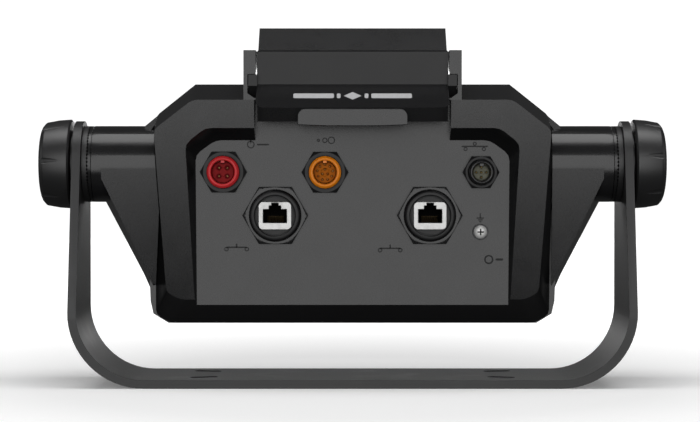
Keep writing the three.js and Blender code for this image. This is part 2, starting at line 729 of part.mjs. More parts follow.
function dockPlate() {
  const { nearY, floorY, rimY, clearance, rim } = DOCK;
  const body = mirrored(BODY);
  const plate = prism('y', outline(softened(offset(body, -clearance), 2, 1)), nearY, rimY);
  const dish = prism('y', outline(softened(offset(body, -clearance - rim), 2, 1)), floorY, rimY + BEYOND);
  const { x, halfThickness, bottom, top } = DOCK_RIB;
  const { halfWidth, bottom: windowBottom, top: windowTop } = DOCK_WINDOW;
  const notch = DOCK_SHELF.halfWidth + GAP;
  const additions = [];
  const cutters = [
    block(-halfWidth, halfWidth, nearY - BEYOND, rimY + BEYOND, windowBottom, windowTop),
    block(-notch, notch, floorY, rimY + BEYOND, DOCK_SHELF.bottom - BEYOND, DOCK_SHELF.footTop),
  ];
  for (const side of [-1, 1]) {
    additions.push(block(side * x - halfThickness, side * x + halfThickness, nearY, rimY, bottom, top));
    for (const [screwX, z] of CASE_SCREW.places) {
      const place = [side * screwX, 0, z];
      additions.push(rod('y', CASE_SCREW.boss, COVER.farY + 2 * GAP, floorY, 12).translate(place));
      cutters.push(rod('y', CASE_SCREW.hole, COVER.farY - BEYOND, rimY, 10).translate(place));
    }
  }
  return without(joined([plate.subtract(dish), ...additions]), cutters);
}

// The shelf's foot lies on the dock plate, in a notch through the plate's rim.
function dockShelf() {
  const { halfWidth, bottom, top, lipTop, lipNearY, farY, footTop, footFarY } = DOCK_SHELF;
  const startY = DOCK.floorY + GAP;
  return joined([
    block(-halfWidth, halfWidth, startY, farY, bottom, top),
    block(-halfWidth, halfWidth, lipNearY, farY, bottom, lipTop),
    block(-halfWidth, halfWidth, startY, footFarY, bottom, footTop),
  ]);
}

function dockConnector() {
  const { halfWidth, bottom, top } = DOCK_WINDOW;
  const { clearance, outerY, flange, flangeNearY, pocketHalfWidth, pocketY, pocketBottom, pocketTop } = (
    DOCK_CONNECTOR
  );
  const width = halfWidth - clearance;
  const flangeWidth = halfWidth + flange;
  const flangeFarY = DOCK.nearY - GAP;
  const body = joined([
    block(-width, width, BOARD.farY + GAP, outerY, bottom + clearance, top - clearance),
    block(-flangeWidth, flangeWidth, flangeNearY, flangeFarY, bottom - flange, top + flange),
  ]);
  return body.subtract(
    block(-pocketHalfWidth, pocketHalfWidth, pocketY, outerY + BEYOND, pocketBottom, pocketTop),
  );
}

function dockContacts() {
  const { halfWidth, nearY, farY, bottom, top, rows, perRow, pitch, radius, tipY } = DOCK_CONTACTS;
  const contact = rod('y', radius, (nearY + farY) / 2, tipY, 6);
  const row = Array.from({ length: perRow }, (_, i) => pitch * (i - (perRow - 1) / 2));
  const pins = rows.flatMap((z) => row.map((x) => contact.translate([x, 0, z])));
  return joined([block(-halfWidth, halfWidth, nearY, farY, bottom, top), ...pins]);
}

function dockSeal() {
  const { halfWidth, bottom, top } = DOCK_WINDOW;
  const { outerMargin, innerMargin, farY } = DOCK_SEAL;
  const frame = (margin) => softened(
    rectangle(-halfWidth - margin, bottom - margin, halfWidth + margin, top + margin), margin, 3,
  );
  return prism('y', outline(frame(outerMargin), [frame(innerMargin)]), DOCK.floorY + GAP, farY);
}

function dockBumper(side) {
  const { x, z, length, width, corner, nearY, farY } = BUMPER;
  const shape = softened(rectangle(-length / 2, -width / 2, length / 2, width / 2), corner, 4);
  return prism('y', outline(shifted(shape, [side * x, z])), nearY, farY);
}

function crossRecess(width, depthFrom, depthTo) {
  const half = width / 2;
  const blade = half / 3;
  return block(-half, half, depthFrom, depthTo, -blade, blade)
    .add(block(-blade, blade, depthFrom, depthTo, -half, half));
}

function caseScrew() {
  const { shank, point, tipY, head, hole, headHeight, headSide, recess: width, recessDepth } = CASE_SCREW;
  const underHead = DOCK.floorY + GAP;
  const headTop = underHead + headHeight;
  const screw = turned('y', [
    [0, tipY], [point, tipY], [shank, tipY + headSide], [shank, underHead], [head, underHead],
    [head, underHead + headSide], [hole, headTop], [0, headTop],
  ], 10);
  return screw.subtract(crossRecess(width, headTop - recessDepth, headTop + BEYOND));
}

function mainBoard() {
  const { halfWidth, bottom, top, nearY, farY } = BOARD;
  const heights = [BOARD_POST.bottom, BOARD_POST.top];
  const holes = [-1, 1].flatMap((side) => (
    heights.map((z) => circle(BOARD_POST.boardHole, [side * BOARD_POST.x, z], 8))
  ));
  return prism('y', outline(rectangle(-halfWidth, bottom, halfWidth, top), holes), nearY, farY);
}

// ---------------------------------------------------------------- sockets

const FLANGE = { nearY: -13.5, farY: -11.5 };
const SOCKET_TAIL_Y = -7;
const INSULATOR = { nearY: -4.8, farY: -1.2 }; // from the socket's floor
const CONTACT_DISC = 0.6;
const NUT = { thickness: 3.3, networkThickness: 3.5, busThickness: 2.4 };
const BUS_COLLAR = { radius: 7.6, nearY: -22.4, farY: -20 };
const NETWORK_FLANGE_Y = -12.7;

function socketBody({ mouthY, radius, bore, floorY, flange, tail }) {
  return turned('y', [
    [0, floorY], [bore, floorY], [bore, mouthY], [radius, mouthY], [radius, FLANGE.nearY],
    [flange, FLANGE.nearY], [flange, FLANGE.farY], [tail, FLANGE.farY], [tail, SOCKET_TAIL_Y],
    [0, SOCKET_TAIL_Y],
  ]);
}

function insulator(socket, pins, holeRadius) {
  const holes = pins.map((place) => circle(holeRadius, place, 6));
  const disc = outline(circle(socket.bore - GAP), holes);
  return prism('y', disc, socket.floorY + INSULATOR.nearY, socket.floorY + INSULATOR.farY);
}

function contacts(socket, pins, pinRadius, tipY) {
  const discY = socket.floorY - GAP;
  const disc = rod('y', socket.bore - 2 * GAP, discY - CONTACT_DISC, discY, 10);
  const rods = pins.map(([x, z]) => rod('y', pinRadius, tipY, discY - GAP, 5).translate([x, 0, z]));
  return joined([disc, ...rods]);
}

function ringOfPins(count, radius, startAngle) {
  return Array.from({ length: count }, (_, i) => {
    const angle = startAngle + (2 * Math.PI * i) / count;
    return [radius * Math.cos(angle), radius * Math.sin(angle)];
  });
}

function panelNut({ radius, acrossFlats }, thickness) {
  const shape = outline(hexagon(acrossFlats), [circle(radius + GAP)]);
  return prism('y', shape, PANEL.nearY - GAP - thickness, PANEL.nearY - GAP);
}

function socketGasket({ radius, flange }) {
  return tube('y', flange - 0.2, radius + 0.4, PANEL.farY + GAP, FLANGE.nearY - GAP, 16);
}

// A round panel socket with its insulator, contacts, nut and gasket, each a piece of its own.
function addSocket(cradle, name, place, socket, look) {
  const group = new THREE.Group();
  group.position.set(place.x, 0, place.z);
  cradle.add(group);
  addPiece(group, `${name}_socket`, socketBody(socket), look.finish);
  addPiece(group, `${name}_insulator`, insulator(socket, look.pins, look.holeRadius), look.insulator);
  addPiece(group, `${name}_contacts`, contacts(socket, look.pins, look.pinRadius, look.tipY), 'gold');
  addPiece(group, `${name}_nut`, look.nut ?? panelNut(socket, NUT.thickness), 'darkMoulding');
  addPiece(group, `${name}_gasket`, socketGasket(socket), 'rubber');
}

function busNut() {
  const { radius, nearY, farY } = BUS_COLLAR;
  const collar = tube('y', radius, BUS_SOCKET.radius + GAP, nearY, farY);
  return panelNut(BUS_SOCKET, NUT.busThickness).add(collar);
}

function networkShell() {
  const { mouthY, radius, bore, floorY, flange, tail, tailY } = NETWORK_SHELL;
  const body = turned('y', [
    [0, floorY], [bore, floorY], [bore, mouthY], [radius, mouthY], [radius, PANEL.farY + GAP],
    [flange, PANEL.farY + GAP], [flange, NETWORK_FLANGE_Y], [tail, NETWORK_FLANGE_Y], [tail, tailY],
    [0, tailY],
  ]);
  const margin = 2 * GAP;
  const hole = outline(jackOutline(margin));
  return body.subtract(prism('y', hole, floorY - BEYOND, tailY + BEYOND));
}

function jackOutline(margin) {
  const u = (JACK.width + margin) / 2;
  const v = (JACK.height + margin) / 2;
  return softened(rectangle(-u, -v, u, v), JACK.corner, 4);
}

function networkJack() {
  const opening = outline(mirrored(JACK_OPENING));
  const body = prism('y', outline(jackOutline(0)), JACK.nearY, JACK.farY);
  return body.subtract(prism('y', opening, JACK.nearY - BEYOND, JACK.openingFarY));
}

function jackContacts() {
  const { pitch, count, halfThickness, finger, bar } = JACK_CONTACTS;
  const fingers = Array.from({ length: count }, (_, i) => {
    const x = pitch * (i - (count - 1) / 2);
    return prism('x', outline(finger), x - halfThickness, x + halfThickness);
  });
  return joined([block(...bar), ...fingers]);
}

function addNetworkSocket(cradle, side, sign) {
  const group = new THREE.Group();
  group.position.set(sign * NETWORK.x, 0, NETWORK.z);
  cradle.add(group);
  addPiece(group, `network_${side}_shell`, networkShell(), 'moulding');
  addPiece(group, `network_${side}_jack`, networkJack(), 'nickel');
  addPiece(group, `network_${side}_contacts`, jackContacts(), 'gold');
  addPiece(group, `network_${side}_nut`, panelNut(NETWORK_SHELL, NUT.networkThickness), 'darkMoulding');
}

function groundScrew() {
  const { shank, tipY, headFarY, headY, head, recess: width, recessFloorY } = GROUND_SCREW;
  const screw = turned('y', [
    [0, tipY], [shank, tipY], [shank, headFarY], [head[0][0], headFarY], ...head, [0, headY],
  ], 16);
  return screw.subtract(crossRecess(width, headY - BEYOND, recessFloorY));
}

// ---------------------------------------------------------------- the whole object

function addSockets(cradle) {
  const square = ringOfPins(4, 2.88, Math.PI / 4);
  const twelve = [...ringOfPins(9, 3.8, Math.PI / 2), ...ringOfPins(3, 1.5, Math.PI / 2)];
  const five = [...ringOfPins(4, 2.5, 0), [0, 0]];
  addSocket(cradle, 'power', POWER, LARGE_SOCKET, {
    finish: 'red', insulator: 'red', pins: square, holeRadius: 1.5, pinRadius: 0.55, tipY: -21,
  });
  addSocket(cradle, 'sonar', SONAR, LARGE_SOCKET, {
    finish: 'orange', insulator: 'orange', pins: twelve, holeRadius: 0.72, pinRadius: 0.35, tipY: -23.5,
  });
  addSocket(cradle, 'bus', BUS, BUS_SOCKET, {
    finish: 'darkMoulding',
    insulator: 'moulding',
    pins: five,
    holeRadius: 0.85,
    pinRadius: 0.45,
    tipY: -24,
    nut: busNut(),
  });
  addNetworkSocket(cradle, 'left', -1);
  addNetworkSocket(cradle, 'right', 1);
  const ground = new THREE.Group();
  ground.position.set(GROUND.x, 0, GROUND.z);
  cradle.add(ground);
  addPiece(ground, 'ground_screw', groundScrew(), 'steel');
  const washer = tube('y', GROUND.washer, GROUND.hole, GROUND.washerNearY, PANEL.nearY - GAP, 16);
  addPiece(ground, 'ground_washer', washer, 'steel');
}

function addCaseScrews(cradle) {
  let number = 1;
  for (const side of [-1, 1]) {
    for (const [x, z] of CASE_SCREW.places) {
      const screw = addPiece(cradle, `case_screw_${number}`, caseScrew(), 'steel');
      screw.position.set(side * x, 0, z);
      number += 1;
    }
  }
}

function addLatch(cradle) {
  const { pinRadius, pinHalfLength, y, z } = HINGE;
  const pin = rod('x', pinRadius, -pinHalfLength, pinHalfLength, 16).translate([0, y, z]);
  addPiece(cradle, 'latch_arm', latchArm(), 'moulding');
  addPiece(cradle, 'latch_finger_pad', fingerPad(), 'rubber');
  addPiece(cradle, 'latch_hinge_pin', pin, 'steel');
  addPiece(cradle, 'latch_spring_right', latchSpring(), 'steel');
  addPiece(cradle, 'latch_spring_left', latchSpring().mirror([1, 0, 0]), 'steel');
}

function addDockSide(cradle) {
  addPiece(cradle, 'dock_plate', dockPlate(), 'darkMoulding');
  addPiece(cradle, 'dock_shelf', dockShelf(), 'darkMoulding');
  addPiece(cradle, 'dock_connector', dockConnector(), 'darkMoulding');
  addPiece(cradle, 'dock_contacts', dockContacts(), 'gold');
  addPiece(cradle, 'dock_seal', dockSeal(), 'rubber');
  addPiece(cradle, 'dock_bumper_left', dockBumper(-1), 'rubber');
  addPiece(cradle, 'dock_bumper_right', dockBumper(1), 'rubber');
}

const part = new THREE.Group();
addPiece(part, 'bail_bracket', bailBracket(), 'coatedMetal');

const cradle = new THREE.Group();
cradle.position.set(0, TILT_AXIS.y, TILT_AXIS.z);
part.add(cradle);
addPiece(cradle, 'cradle_frame', cradleFrame(), 'moulding');
addPiece(cradle, 'frame_seal', frameSeal(), 'rubber');
addPiece(cradle, 'rear_cover', rearCover(), 'moulding');
addPiece(cradle, 'main_board', mainBoard(), 'board');
addTiltEnd(cradle, 'right', 0, RIGHT_GROOVE_PHASE);
addTiltEnd(cradle, 'left', Math.PI, LEFT_GROOVE_PHASE);
addLatch(cradle);
addDockSide(cradle);
addCaseScrews(cradle);
addSockets(cradle);

export default part;
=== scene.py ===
"""Looks of a chartplotter's quick-release docking cradle in its bail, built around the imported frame.

Sizes are in millimetres and are measured from the tilt axis: +X is to the right of a person who faces
the cable side, +Y points to the docking side and +Z points up.
"""

import json
import math
from contextlib import contextmanager

import bpy
from bpy.props import FloatProperty, FloatVectorProperty, IntProperty, PointerProperty
from mathutils import Matrix, Vector

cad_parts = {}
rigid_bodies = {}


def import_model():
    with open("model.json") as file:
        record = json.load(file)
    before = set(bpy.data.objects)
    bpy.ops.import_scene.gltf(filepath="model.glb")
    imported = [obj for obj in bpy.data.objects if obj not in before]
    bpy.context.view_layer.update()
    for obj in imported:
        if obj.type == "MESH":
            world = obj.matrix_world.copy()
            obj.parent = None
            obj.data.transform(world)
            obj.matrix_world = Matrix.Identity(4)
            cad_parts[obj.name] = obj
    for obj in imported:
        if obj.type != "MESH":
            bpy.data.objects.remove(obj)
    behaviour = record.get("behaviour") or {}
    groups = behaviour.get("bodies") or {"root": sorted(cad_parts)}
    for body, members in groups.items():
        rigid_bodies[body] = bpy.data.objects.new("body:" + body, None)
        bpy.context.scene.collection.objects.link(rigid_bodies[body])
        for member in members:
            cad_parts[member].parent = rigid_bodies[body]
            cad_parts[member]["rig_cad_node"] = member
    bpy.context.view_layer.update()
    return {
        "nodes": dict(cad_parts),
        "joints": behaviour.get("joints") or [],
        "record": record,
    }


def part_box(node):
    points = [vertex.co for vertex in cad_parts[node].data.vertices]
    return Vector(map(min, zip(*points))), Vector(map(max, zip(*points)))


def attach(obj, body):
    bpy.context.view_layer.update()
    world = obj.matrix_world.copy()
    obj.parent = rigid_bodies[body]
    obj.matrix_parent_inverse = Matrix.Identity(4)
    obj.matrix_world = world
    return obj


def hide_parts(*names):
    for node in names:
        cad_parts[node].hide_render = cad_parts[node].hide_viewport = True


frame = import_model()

bl_info = {
    "name": "Docking Cradle",
    "version": (1, 0, 0),
    "blender": (4, 5, 0),
    "location": "3D View > Sidebar > Cradle",
    "description": "Models the docking cradle of a chartplotter and its bail, piece by piece",
    "category": "Object",
}

MM = 0.001
RECORD = frame["record"]
BODY_OF = {node: body for body, nodes in RECORD["behaviour"]["bodies"].items() for node in nodes}
JOINTS = {joint["name"]: joint for joint in frame["joints"]}
TILT_AXIS = Vector(JOINTS["cradle_tilt"]["pos_m"])


def reach(node):
    """A node's lowest and highest corners in millimetres from the tilt axis."""
    return [(corner - TILT_AXIS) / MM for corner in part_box(node)]


def middle(node):
    low, high = reach(node)
    return (low + high) / 2


# ---------------------------------------------------------------- places and outlines

AXES = {"x": Vector((1, 0, 0)), "y": Vector((0, 1, 0)), "z": Vector((0, 0, 1))}
ORDER = {"x": (2, 0, 1), "y": (0, 2, 1), "z": (0, 1, 2)}


def place(axis, u, v, along):
    """A point in metres: (y, z) across x, (x, z) across y or (x, y) across z, and its place along it."""
    return TILT_AXIS + Vector([(u, v, along)[i] for i in ORDER[axis]]) * MM


def arc(centre, radius, start, end, steps=12):
    """Points on an arc, from one angle to another in degrees."""
    angles = [math.radians(start + (end - start) * i / steps) for i in range(steps + 1)]
    return [(centre[0] + radius * math.cos(a), centre[1] + radius * math.sin(a)) for a in angles]


def circle(radius, centre=(0, 0), steps=32):
    return arc(centre, radius, 0, 360, steps)[:-1]


def hexagon(across_flats, centre):
    return circle(across_flats / math.sqrt(3), centre, 6)


def rounded(u0, v0, u1, v1, corner, steps=6):
    """A rectangle with rounded corners, counter-clockwise."""
    corners = [(u1 - corner, v0 + corner, -90), (u1 - corner, v1 - corner, 0),
               (u0 + corner, v1 - corner, 90), (u0 + corner, v0 + corner, 180)]
    return [point for u, v, start in corners for point in arc((u, v), corner, start, start + 90, steps)]


def mirrored(half):
    """A right-hand half outline, from the bottom up, closed with its mirror image."""
    return half + [(-u, v) for u, v in reversed(half)]


def shifted(points, centre):
    return [(u + centre[0], v + centre[1]) for u, v in points]


# ---------------------------------------------------------------- modelling kit

def only(obj):
    bpy.ops.object.select_all(action="DESELECT")
    obj.select_set(True)
    bpy.context.view_layer.objects.active = obj


@contextmanager
def editing(obj):
    """Edit mode on one object, with everything in it selected."""
    only(obj)
    bpy.ops.object.mode_set(mode="EDIT")
    bpy.ops.mesh.select_mode(type="VERT")
    bpy.ops.mesh.select_all(action="SELECT")
    yield
    bpy.ops.object.mode_set(mode="OBJECT")


def move_points(obj, wanted, shift):
    """Moves the vertices that pass a test on their place. The place and the shift are in millimetres."""
    with editing(obj):
        bpy.ops.mesh.select_all(action="DESELECT")
    for vertex in obj.data.vertices:
        vertex.select = wanted((vertex.co - TILT_AXIS) / MM)
    only(obj)
    bpy.ops.object.mode_set(mode="EDIT")
    bpy.ops.transform.translate(value=Vector(shift) * MM)
    bpy.ops.object.mode_set(mode="OBJECT")


def face_outwards():
    bpy.ops.mesh.select_all(action="SELECT")
    bpy.ops.mesh.normals_make_consistent(inside=False)


def trace(points, fill=True):
    """Draws a line from point to point in metres, and fills it as one face."""
    bpy.ops.object.select_all(action="DESELECT")
    bpy.ops.mesh.primitive_plane_add(size=MM)
    obj = bpy.context.active_object
    with editing(obj):
        bpy.ops.mesh.merge(type="CENTER")
        bpy.ops.transform.translate(value=points[0])
        for before, after in zip(points, points[1:]):
            bpy.ops.mesh.extrude_vertices_move(TRANSFORM_OT_translate={"value": after - before})
        if fill:
            bpy.ops.mesh.select_all(action="SELECT")
            bpy.ops.mesh.edge_face_add()
    return obj


def slab(points, thickness):
    """A face through points in metres, pulled out along a vector."""
    obj = trace(points)
    with editing(obj):
        bpy.ops.mesh.extrude_region_move(TRANSFORM_OT_translate={"value": thickness})
        face_outwards()
    return obj


def prism(axis, outline, start, end):
    return slab([place(axis, u, v, start) for u, v in outline], AXES[axis] * (end - start) * MM)


def turned(axis, profile, centre=(0, 0), steps=64):
    """A profile of (radius, place along the axis) spun round it. Off the axis, it closes on itself."""
    if profile[0][0] > 0:
        profile = profile + profile[:1]
    obj = trace([place(axis, centre[0], centre[1] + radius, along) for radius, along in profile], False)
    with editing(obj):
        bpy.ops.mesh.spin(
            steps=steps, angle=2 * math.pi, center=place(axis, *centre, 0), axis=AXES[axis], dupli=False,
        )
        bpy.ops.mesh.select_all(action="SELECT")
        bpy.ops.mesh.remove_doubles(threshold=MM / 1000)
        face_outwards()
    return obj


def joined(pieces):
    only(pieces[0])
    for piece in pieces[1:]:
        piece.select_set(True)
    bpy.ops.object.join()
    return pieces[0]


def copy_of(obj):
    only(obj)
    bpy.ops.object.duplicate()
    return bpy.context.active_object


def turn(obj, degrees, axis, centre):
    """Turns a piece about an axis through a point in metres. Background rotation runs the other way."""
    with editing(obj):
        bpy.ops.transform.rotate(
            value=-math.radians(degrees), orient_axis=axis.upper(), center_override=centre,
        )
    return obj


def finish_modifier(obj, kind, **settings):
    only(obj)
    bpy.ops.object.modifier_add(type=kind)
    modifier = obj.modifiers[-1]
    for name, value in settings.items():
        setattr(modifier, name, value)
    bpy.ops.object.modifier_apply(modifier=modifier.name)


def combine(obj, tool, operation):
    finish_modifier(obj, "BOOLEAN", operation=operation, solver="EXACT", object=tool)
    bpy.data.objects.remove(tool)
    return obj


def cut(obj, *tools):
    for tool in tools:
        combine(obj, tool, "DIFFERENCE")
    return obj


def add(obj, *tools):
    for tool in tools:
        combine(obj, tool, "UNION")
    return obj


def round_edges(obj, width, segments=3, angle=32):
    """Rounds the edges that are sharper than an angle, and evens the shading of the flat faces."""
    finish_modifier(
        obj, "BEVEL", width=width * MM, segments=segments, limit_method="ANGLE",
        angle_limit=math.radians(angle), use_clamp_overlap=True, miter_outer="MITER_ARC",
    )
    return smooth(obj)


def smooth(obj, angle=40):
    only(obj)
    bpy.ops.object.shade_smooth_by_angle(angle=math.radians(angle))
    finish_modifier(obj, "WEIGHTED_NORMAL", keep_sharp=True)
    return obj


def merged_copy(node):
    """A copy of a CAD node with its loose triangles merged and its flat faces made whole."""
    obj = copy_of(frame["nodes"][node])
    del obj["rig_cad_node"]
    obj.parent = None
    obj.matrix_world = Matrix.Identity(4)
    obj.data.materials.clear()
    bpy.ops.mesh.customdata_custom_splitnormals_clear()
    with editing(obj):
        bpy.ops.mesh.remove_doubles(threshold=MM / 500)
        bpy.ops.mesh.dissolve_limited(angle_limit=math.radians(0.6))
    return obj


def dress(obj, name, material, body, nodes=()):
    """Gives a finished piece its name and material, puts it on its body and hides the CAD nodes that it
    stands for.
    """
    obj.name = name
    obj.data.name = name
    obj.data.materials.clear()
    obj.data.materials.append(material)
    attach(obj, body)
    if nodes:
        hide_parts(*nodes)
    return obj


def stands_for(obj, node, material):
    return dress(obj, f"{node}_finished", material, BODY_OF[node], [node])


# ---------------------------------------------------------------- materials

class Value:
    """A shader socket that takes part in Python arithmetic, which adds the Math nodes."""

    def __init__(self, finish, socket):
        self.finish = finish
        self.socket = socket

    def _with(self, operation, first, second):
        return self.finish.node("ShaderNodeMath", {"operation": operation}, {0: first, 1: second})

    def __add__(self, other):
        return self._with("ADD", self, other)

    __radd__ = __add__

    def __sub__(self, other):
        return self._with("SUBTRACT", self, other)

    def __rsub__(self, other):
        return self._with("SUBTRACT", other, self)

    def __mul__(self, other):
        return self._with("MULTIPLY", self, other)

    __rmul__ = __mul__


class Finish:
    """A procedural material on object coordinates, with constants set on the shader's own sockets."""

    def __init__(self, name, **constants):
        self.material = bpy.data.materials.new(name)
        self.material.use_nodes = True
        self.tree = self.material.node_tree
        self.shader = self.tree.nodes["Principled BSDF"]
        for socket, value in constants.items():
            self.shader.inputs[socket.replace("_", " ")].default_value = value
        self.place = self.node("ShaderNodeTexCoord", output="Object")

    def node(self, kind, settings=None, inputs=None, output=0):
        node = self.tree.nodes.new(kind)
        for name, value in (settings or {}).items():
            if name == "stops":
                self._set_stops(node.color_ramp, value)
            else:
                setattr(node, name, value)
        for name, value in (inputs or {}).items():
            self._put(node.inputs[name], value)
        return Value(self, node.outputs[output])

    def _put(self, socket, value):
        if isinstance(value, Value):
            self.tree.links.new(value.socket, socket)
        else:
            socket.default_value = value

    @staticmethod
    def _set_stops(ramp, stops):
        while len(ramp.elements) < len(stops):
            ramp.elements.new(0.5)
        for element, (position, level) in zip(ramp.elements, stops):
            element.position = position
            element.color = (level, level, level, 1)

    def noise(self, size, detail=2.0, stretch=(1, 1, 1)):
        """Noise from 0 to 1 whose patches have a size in millimetres."""
        where = self.node("ShaderNodeMapping", inputs={"Vector": self.place, "Scale": stretch},
                          output="Vector")
        return self.node("ShaderNodeTexNoise",
                         inputs={"Vector": where, "Scale": 1 / (size * MM), "Detail": detail}, output="Fac")

    def cells(self, size):
        """Distance from the nearest of many scattered points, a size in millimetres apart."""
        return self.node("ShaderNodeTexVoronoi", output="Distance",
                         inputs={"Vector": self.place, "Scale": 1 / (size * MM), "Randomness": 1.0})

    def ramp(self, value, *stops):
        return self.node("ShaderNodeValToRGB", {"stops": stops}, {"Fac": value}, "Color")

    def mix(self, factor, first, second):
        return self.node("ShaderNodeMix", {"data_type": "RGBA"}, {0: factor, 6: first, 7: second}, 2)

    def feed(self, **links):
        for socket, value in links.items():
            self._put(self.shader.inputs[socket.replace("_", " ")], value)

    def bump(self, height, depth):
        """Raises the surface by a height from 0 to 1 times a depth in millimetres."""
        normal = self.node("ShaderNodeBump", output="Normal",
                           inputs={"Height": height, "Distance": depth * MM, "Strength": 1.0})
        self.feed(Normal=normal)


def shade(colour, factor):
    return (*[channel * factor for channel in colour[:3]], 1)


def moulding(name, colour, roughness, grain=0.35, depth=0.012, sheen=0.42):
    """Injection-moulded plastic: a fine spark-eroded grain, slight colour drift and handled patches."""
    drifting, handling = 0.12, 0.03
    finish = Finish(name, IOR=1.49, Specular_IOR_Level=sheen)
    drift = finish.noise(28, 3)
    grains = finish.noise(grain, 3)
    speckle = finish.mix(grains, shade(colour, 0.8), shade(colour, 1.2))
    tone = finish.mix(drift, shade(colour, 1 - drifting), shade(colour, 1 + drifting))
    handled = finish.ramp(finish.noise(14, 4), (0.42, 0), (0.7, 1))
    finish.feed(Base_Color=finish.mix(0.5, speckle, tone),
                Roughness=roughness + grains * 0.1 - 0.05 - handled * handling)
    finish.bump(grains + finish.cells(grain * 1.7) * 0.6, depth)
    return finish.material


def powder_coat(name, colour):
    """Powder coat with its orange peel, fine texture and a few rubbed patches."""
    finish = Finish(name, IOR=1.5, Metallic=0.0)
    peel = finish.noise(1.1, 2)
    texture = finish.noise(0.28, 3)
    rubbed = finish.ramp(finish.noise(18, 5), (0.55, 0), (0.8, 1))
    tone = finish.mix(texture, shade(colour, 0.82), shade(colour, 1.18))
    finish.feed(Base_Color=finish.mix(rubbed * 0.35, tone, shade(colour, 1.5)),
                Roughness=0.4 + texture * 0.14 - rubbed * 0.06)
    finish.bump(peel * 0.7 + texture * 0.5, 0.02)
    return finish.material


def rubber(name, colour):
    """Matt moulded rubber with a pale bloom and a pebbled surface."""
    finish = Finish(name, IOR=1.45, Specular_IOR_Level=0.3)
    bloom = finish.ramp(finish.noise(6, 5), (0.4, 0), (0.75, 1))
    pebbles = finish.cells(0.5)
    finish.feed(Base_Color=finish.mix(bloom * 0.4, shade(colour, 1), shade(colour, 1.7)),
                Roughness=0.72 + bloom * 0.14)
    finish.bump(pebbles, 0.02)
    return finish.material


def metal(name, colour, roughness, brushing=(1, 1, 1), metallic=1.0):
    """Bare or plated metal with fine tool lines, stains and small variations of gloss."""
    finish = Finish(name, Metallic=metallic)
    lines = finish.noise(0.25, 2, brushing)
    stain = finish.ramp(finish.noise(2.2, 4), (0.45, 0), (0.8, 1))
    finish.feed(Base_Color=finish.mix(stain * 0.5, shade(colour, 1), shade(colour, 0.72)),
                Roughness=roughness + lines * 0.12 + stain * 0.08)
    finish.bump(lines, 0.004)
    return finish.material


def glossy_moulding(name, colour, roughness=0.32, dusting=1.0):
    """Smooth coloured moulding, with faint flow lines and a film of dust."""
    finish = Finish(name, IOR=1.5, Coat_Roughness=0.25, Specular_IOR_Level=0.3)
    flow = finish.noise(1.6, 3, (1, 0.3, 1))
    dust = finish.ramp(finish.noise(0.5, 3), (0.5, 0), (0.85, 1)) * dusting
    finish.feed(Base_Color=finish.mix(flow, shade(colour, 0.86), shade(colour, 1.1)),
                Roughness=roughness + flow * (0.1 * dusting) + dust * 0.14, Coat_Weight=0.12 - dust * 0.1)
    finish.bump(flow, 0.006 * dusting)
    return finish.material


def circuit_board(name, colour):
    """Solder mask with copper tracks that show as lighter stripes."""
    finish = Finish(name, IOR=1.5)
    tracks = finish.ramp(finish.noise(1.2, 0, (0.15, 1, 1)), (0.5, 0), (0.53, 1))
    finish.feed(Base_Color=finish.mix(tracks, shade(colour, 0.8), shade(colour, 1.8)),
                Roughness=0.35 + tracks * 0.1)
    finish.bump(tracks, 0.03)
    return finish.material


def colours():
    return bpy.context.scene.cradle_colours


def sizes():
    return bpy.context.scene.cradle_sizes


MAKERS = {
    "case": lambda c: moulding("charcoal moulding", c.case, 0.23, depth=0.005),
    "latch": lambda c: moulding("latch moulding", c.case, 0.3, depth=0.005, sheen=0.22),
    "dock": lambda c: moulding("satin black moulding", c.dock, 0.4, 0.3, 0.01),
    "knob": lambda c: moulding("satin knob moulding", c.knob, 0.4, 0.3, 0.01, 0.6),
    "nut": lambda c: moulding("black nylon", c.nut, 0.42, 0.25, 0.008, 0.3),
    # Near-black with hardly any sheen, for the jack liners and the screw's recess cross: painted shade
    # inside the jacks and the recess.
    "painted_shade_black": lambda c: moulding("black moulding darkened as painted shade", shade(c.nut, 0.3), 0.9, 0.25, 0.004, 0.03),
    "bail": lambda c: powder_coat("charcoal powder coat", c.bail),
    "rubber": lambda c: rubber("black rubber", c.rubber),
    "red": lambda c: glossy_moulding("red socket moulding", c.red),
    "orange": lambda c: glossy_moulding("orange socket moulding", c.orange),
    "deep_red": lambda c: moulding("dark red insert", shade(c.red, 0.36), 0.6, 0.2, 0.004, 0.1),
    "deep_orange": lambda c: moulding("dark orange insert", shade(c.orange, 0.42), 0.6, 0.2, 0.004, 0.1),
    "gloss_black": lambda c: glossy_moulding("gloss black label", (0.004, 0.004, 0.0045), 0.24, 0.15),
    "olive": lambda c: moulding("olive insulator", c.olive, 0.5, 0.2, 0.006),
    "steel": lambda c: metal("stainless steel", (0.62, 0.62, 0.63), 0.2, (1, 6, 6)),
    # Near-black steel for the ground washer: the washer is real, and its darkness paints the shadow ring
    # round the screw head.
    "washer_painted_shade": lambda c: metal("steel darkened as painted shade", (0.07, 0.07, 0.072), 0.45),
    "nickel": lambda c: metal("satin nickel shell", (0.74, 0.74, 0.73), 0.4, (1, 5, 1), 0.3),
    "gold": lambda c: metal("gold plating", (0.83, 0.6, 0.25), 0.22),
    # Gold darkened to about a sixteenth of the bright plating, for the network contacts deep inside the
    # jacks.
    "dull_gold": lambda c: metal("darkened gold plating", (0.05, 0.037, 0.02), 0.6),
    "brass": lambda c: metal("turned brass", (0.62, 0.46, 0.2), 0.28, (8, 1, 1)),
    "silver": lambda c: metal("silver inlay", c.silver, 0.32, (0.3, 6, 6), 0.6),
    "print": lambda c: moulding("printed mark", c.print, 0.5, 0.2, 0.003, 0.26),
    "board": lambda c: circuit_board("green circuit board", (0.02, 0.12, 0.05)),
}


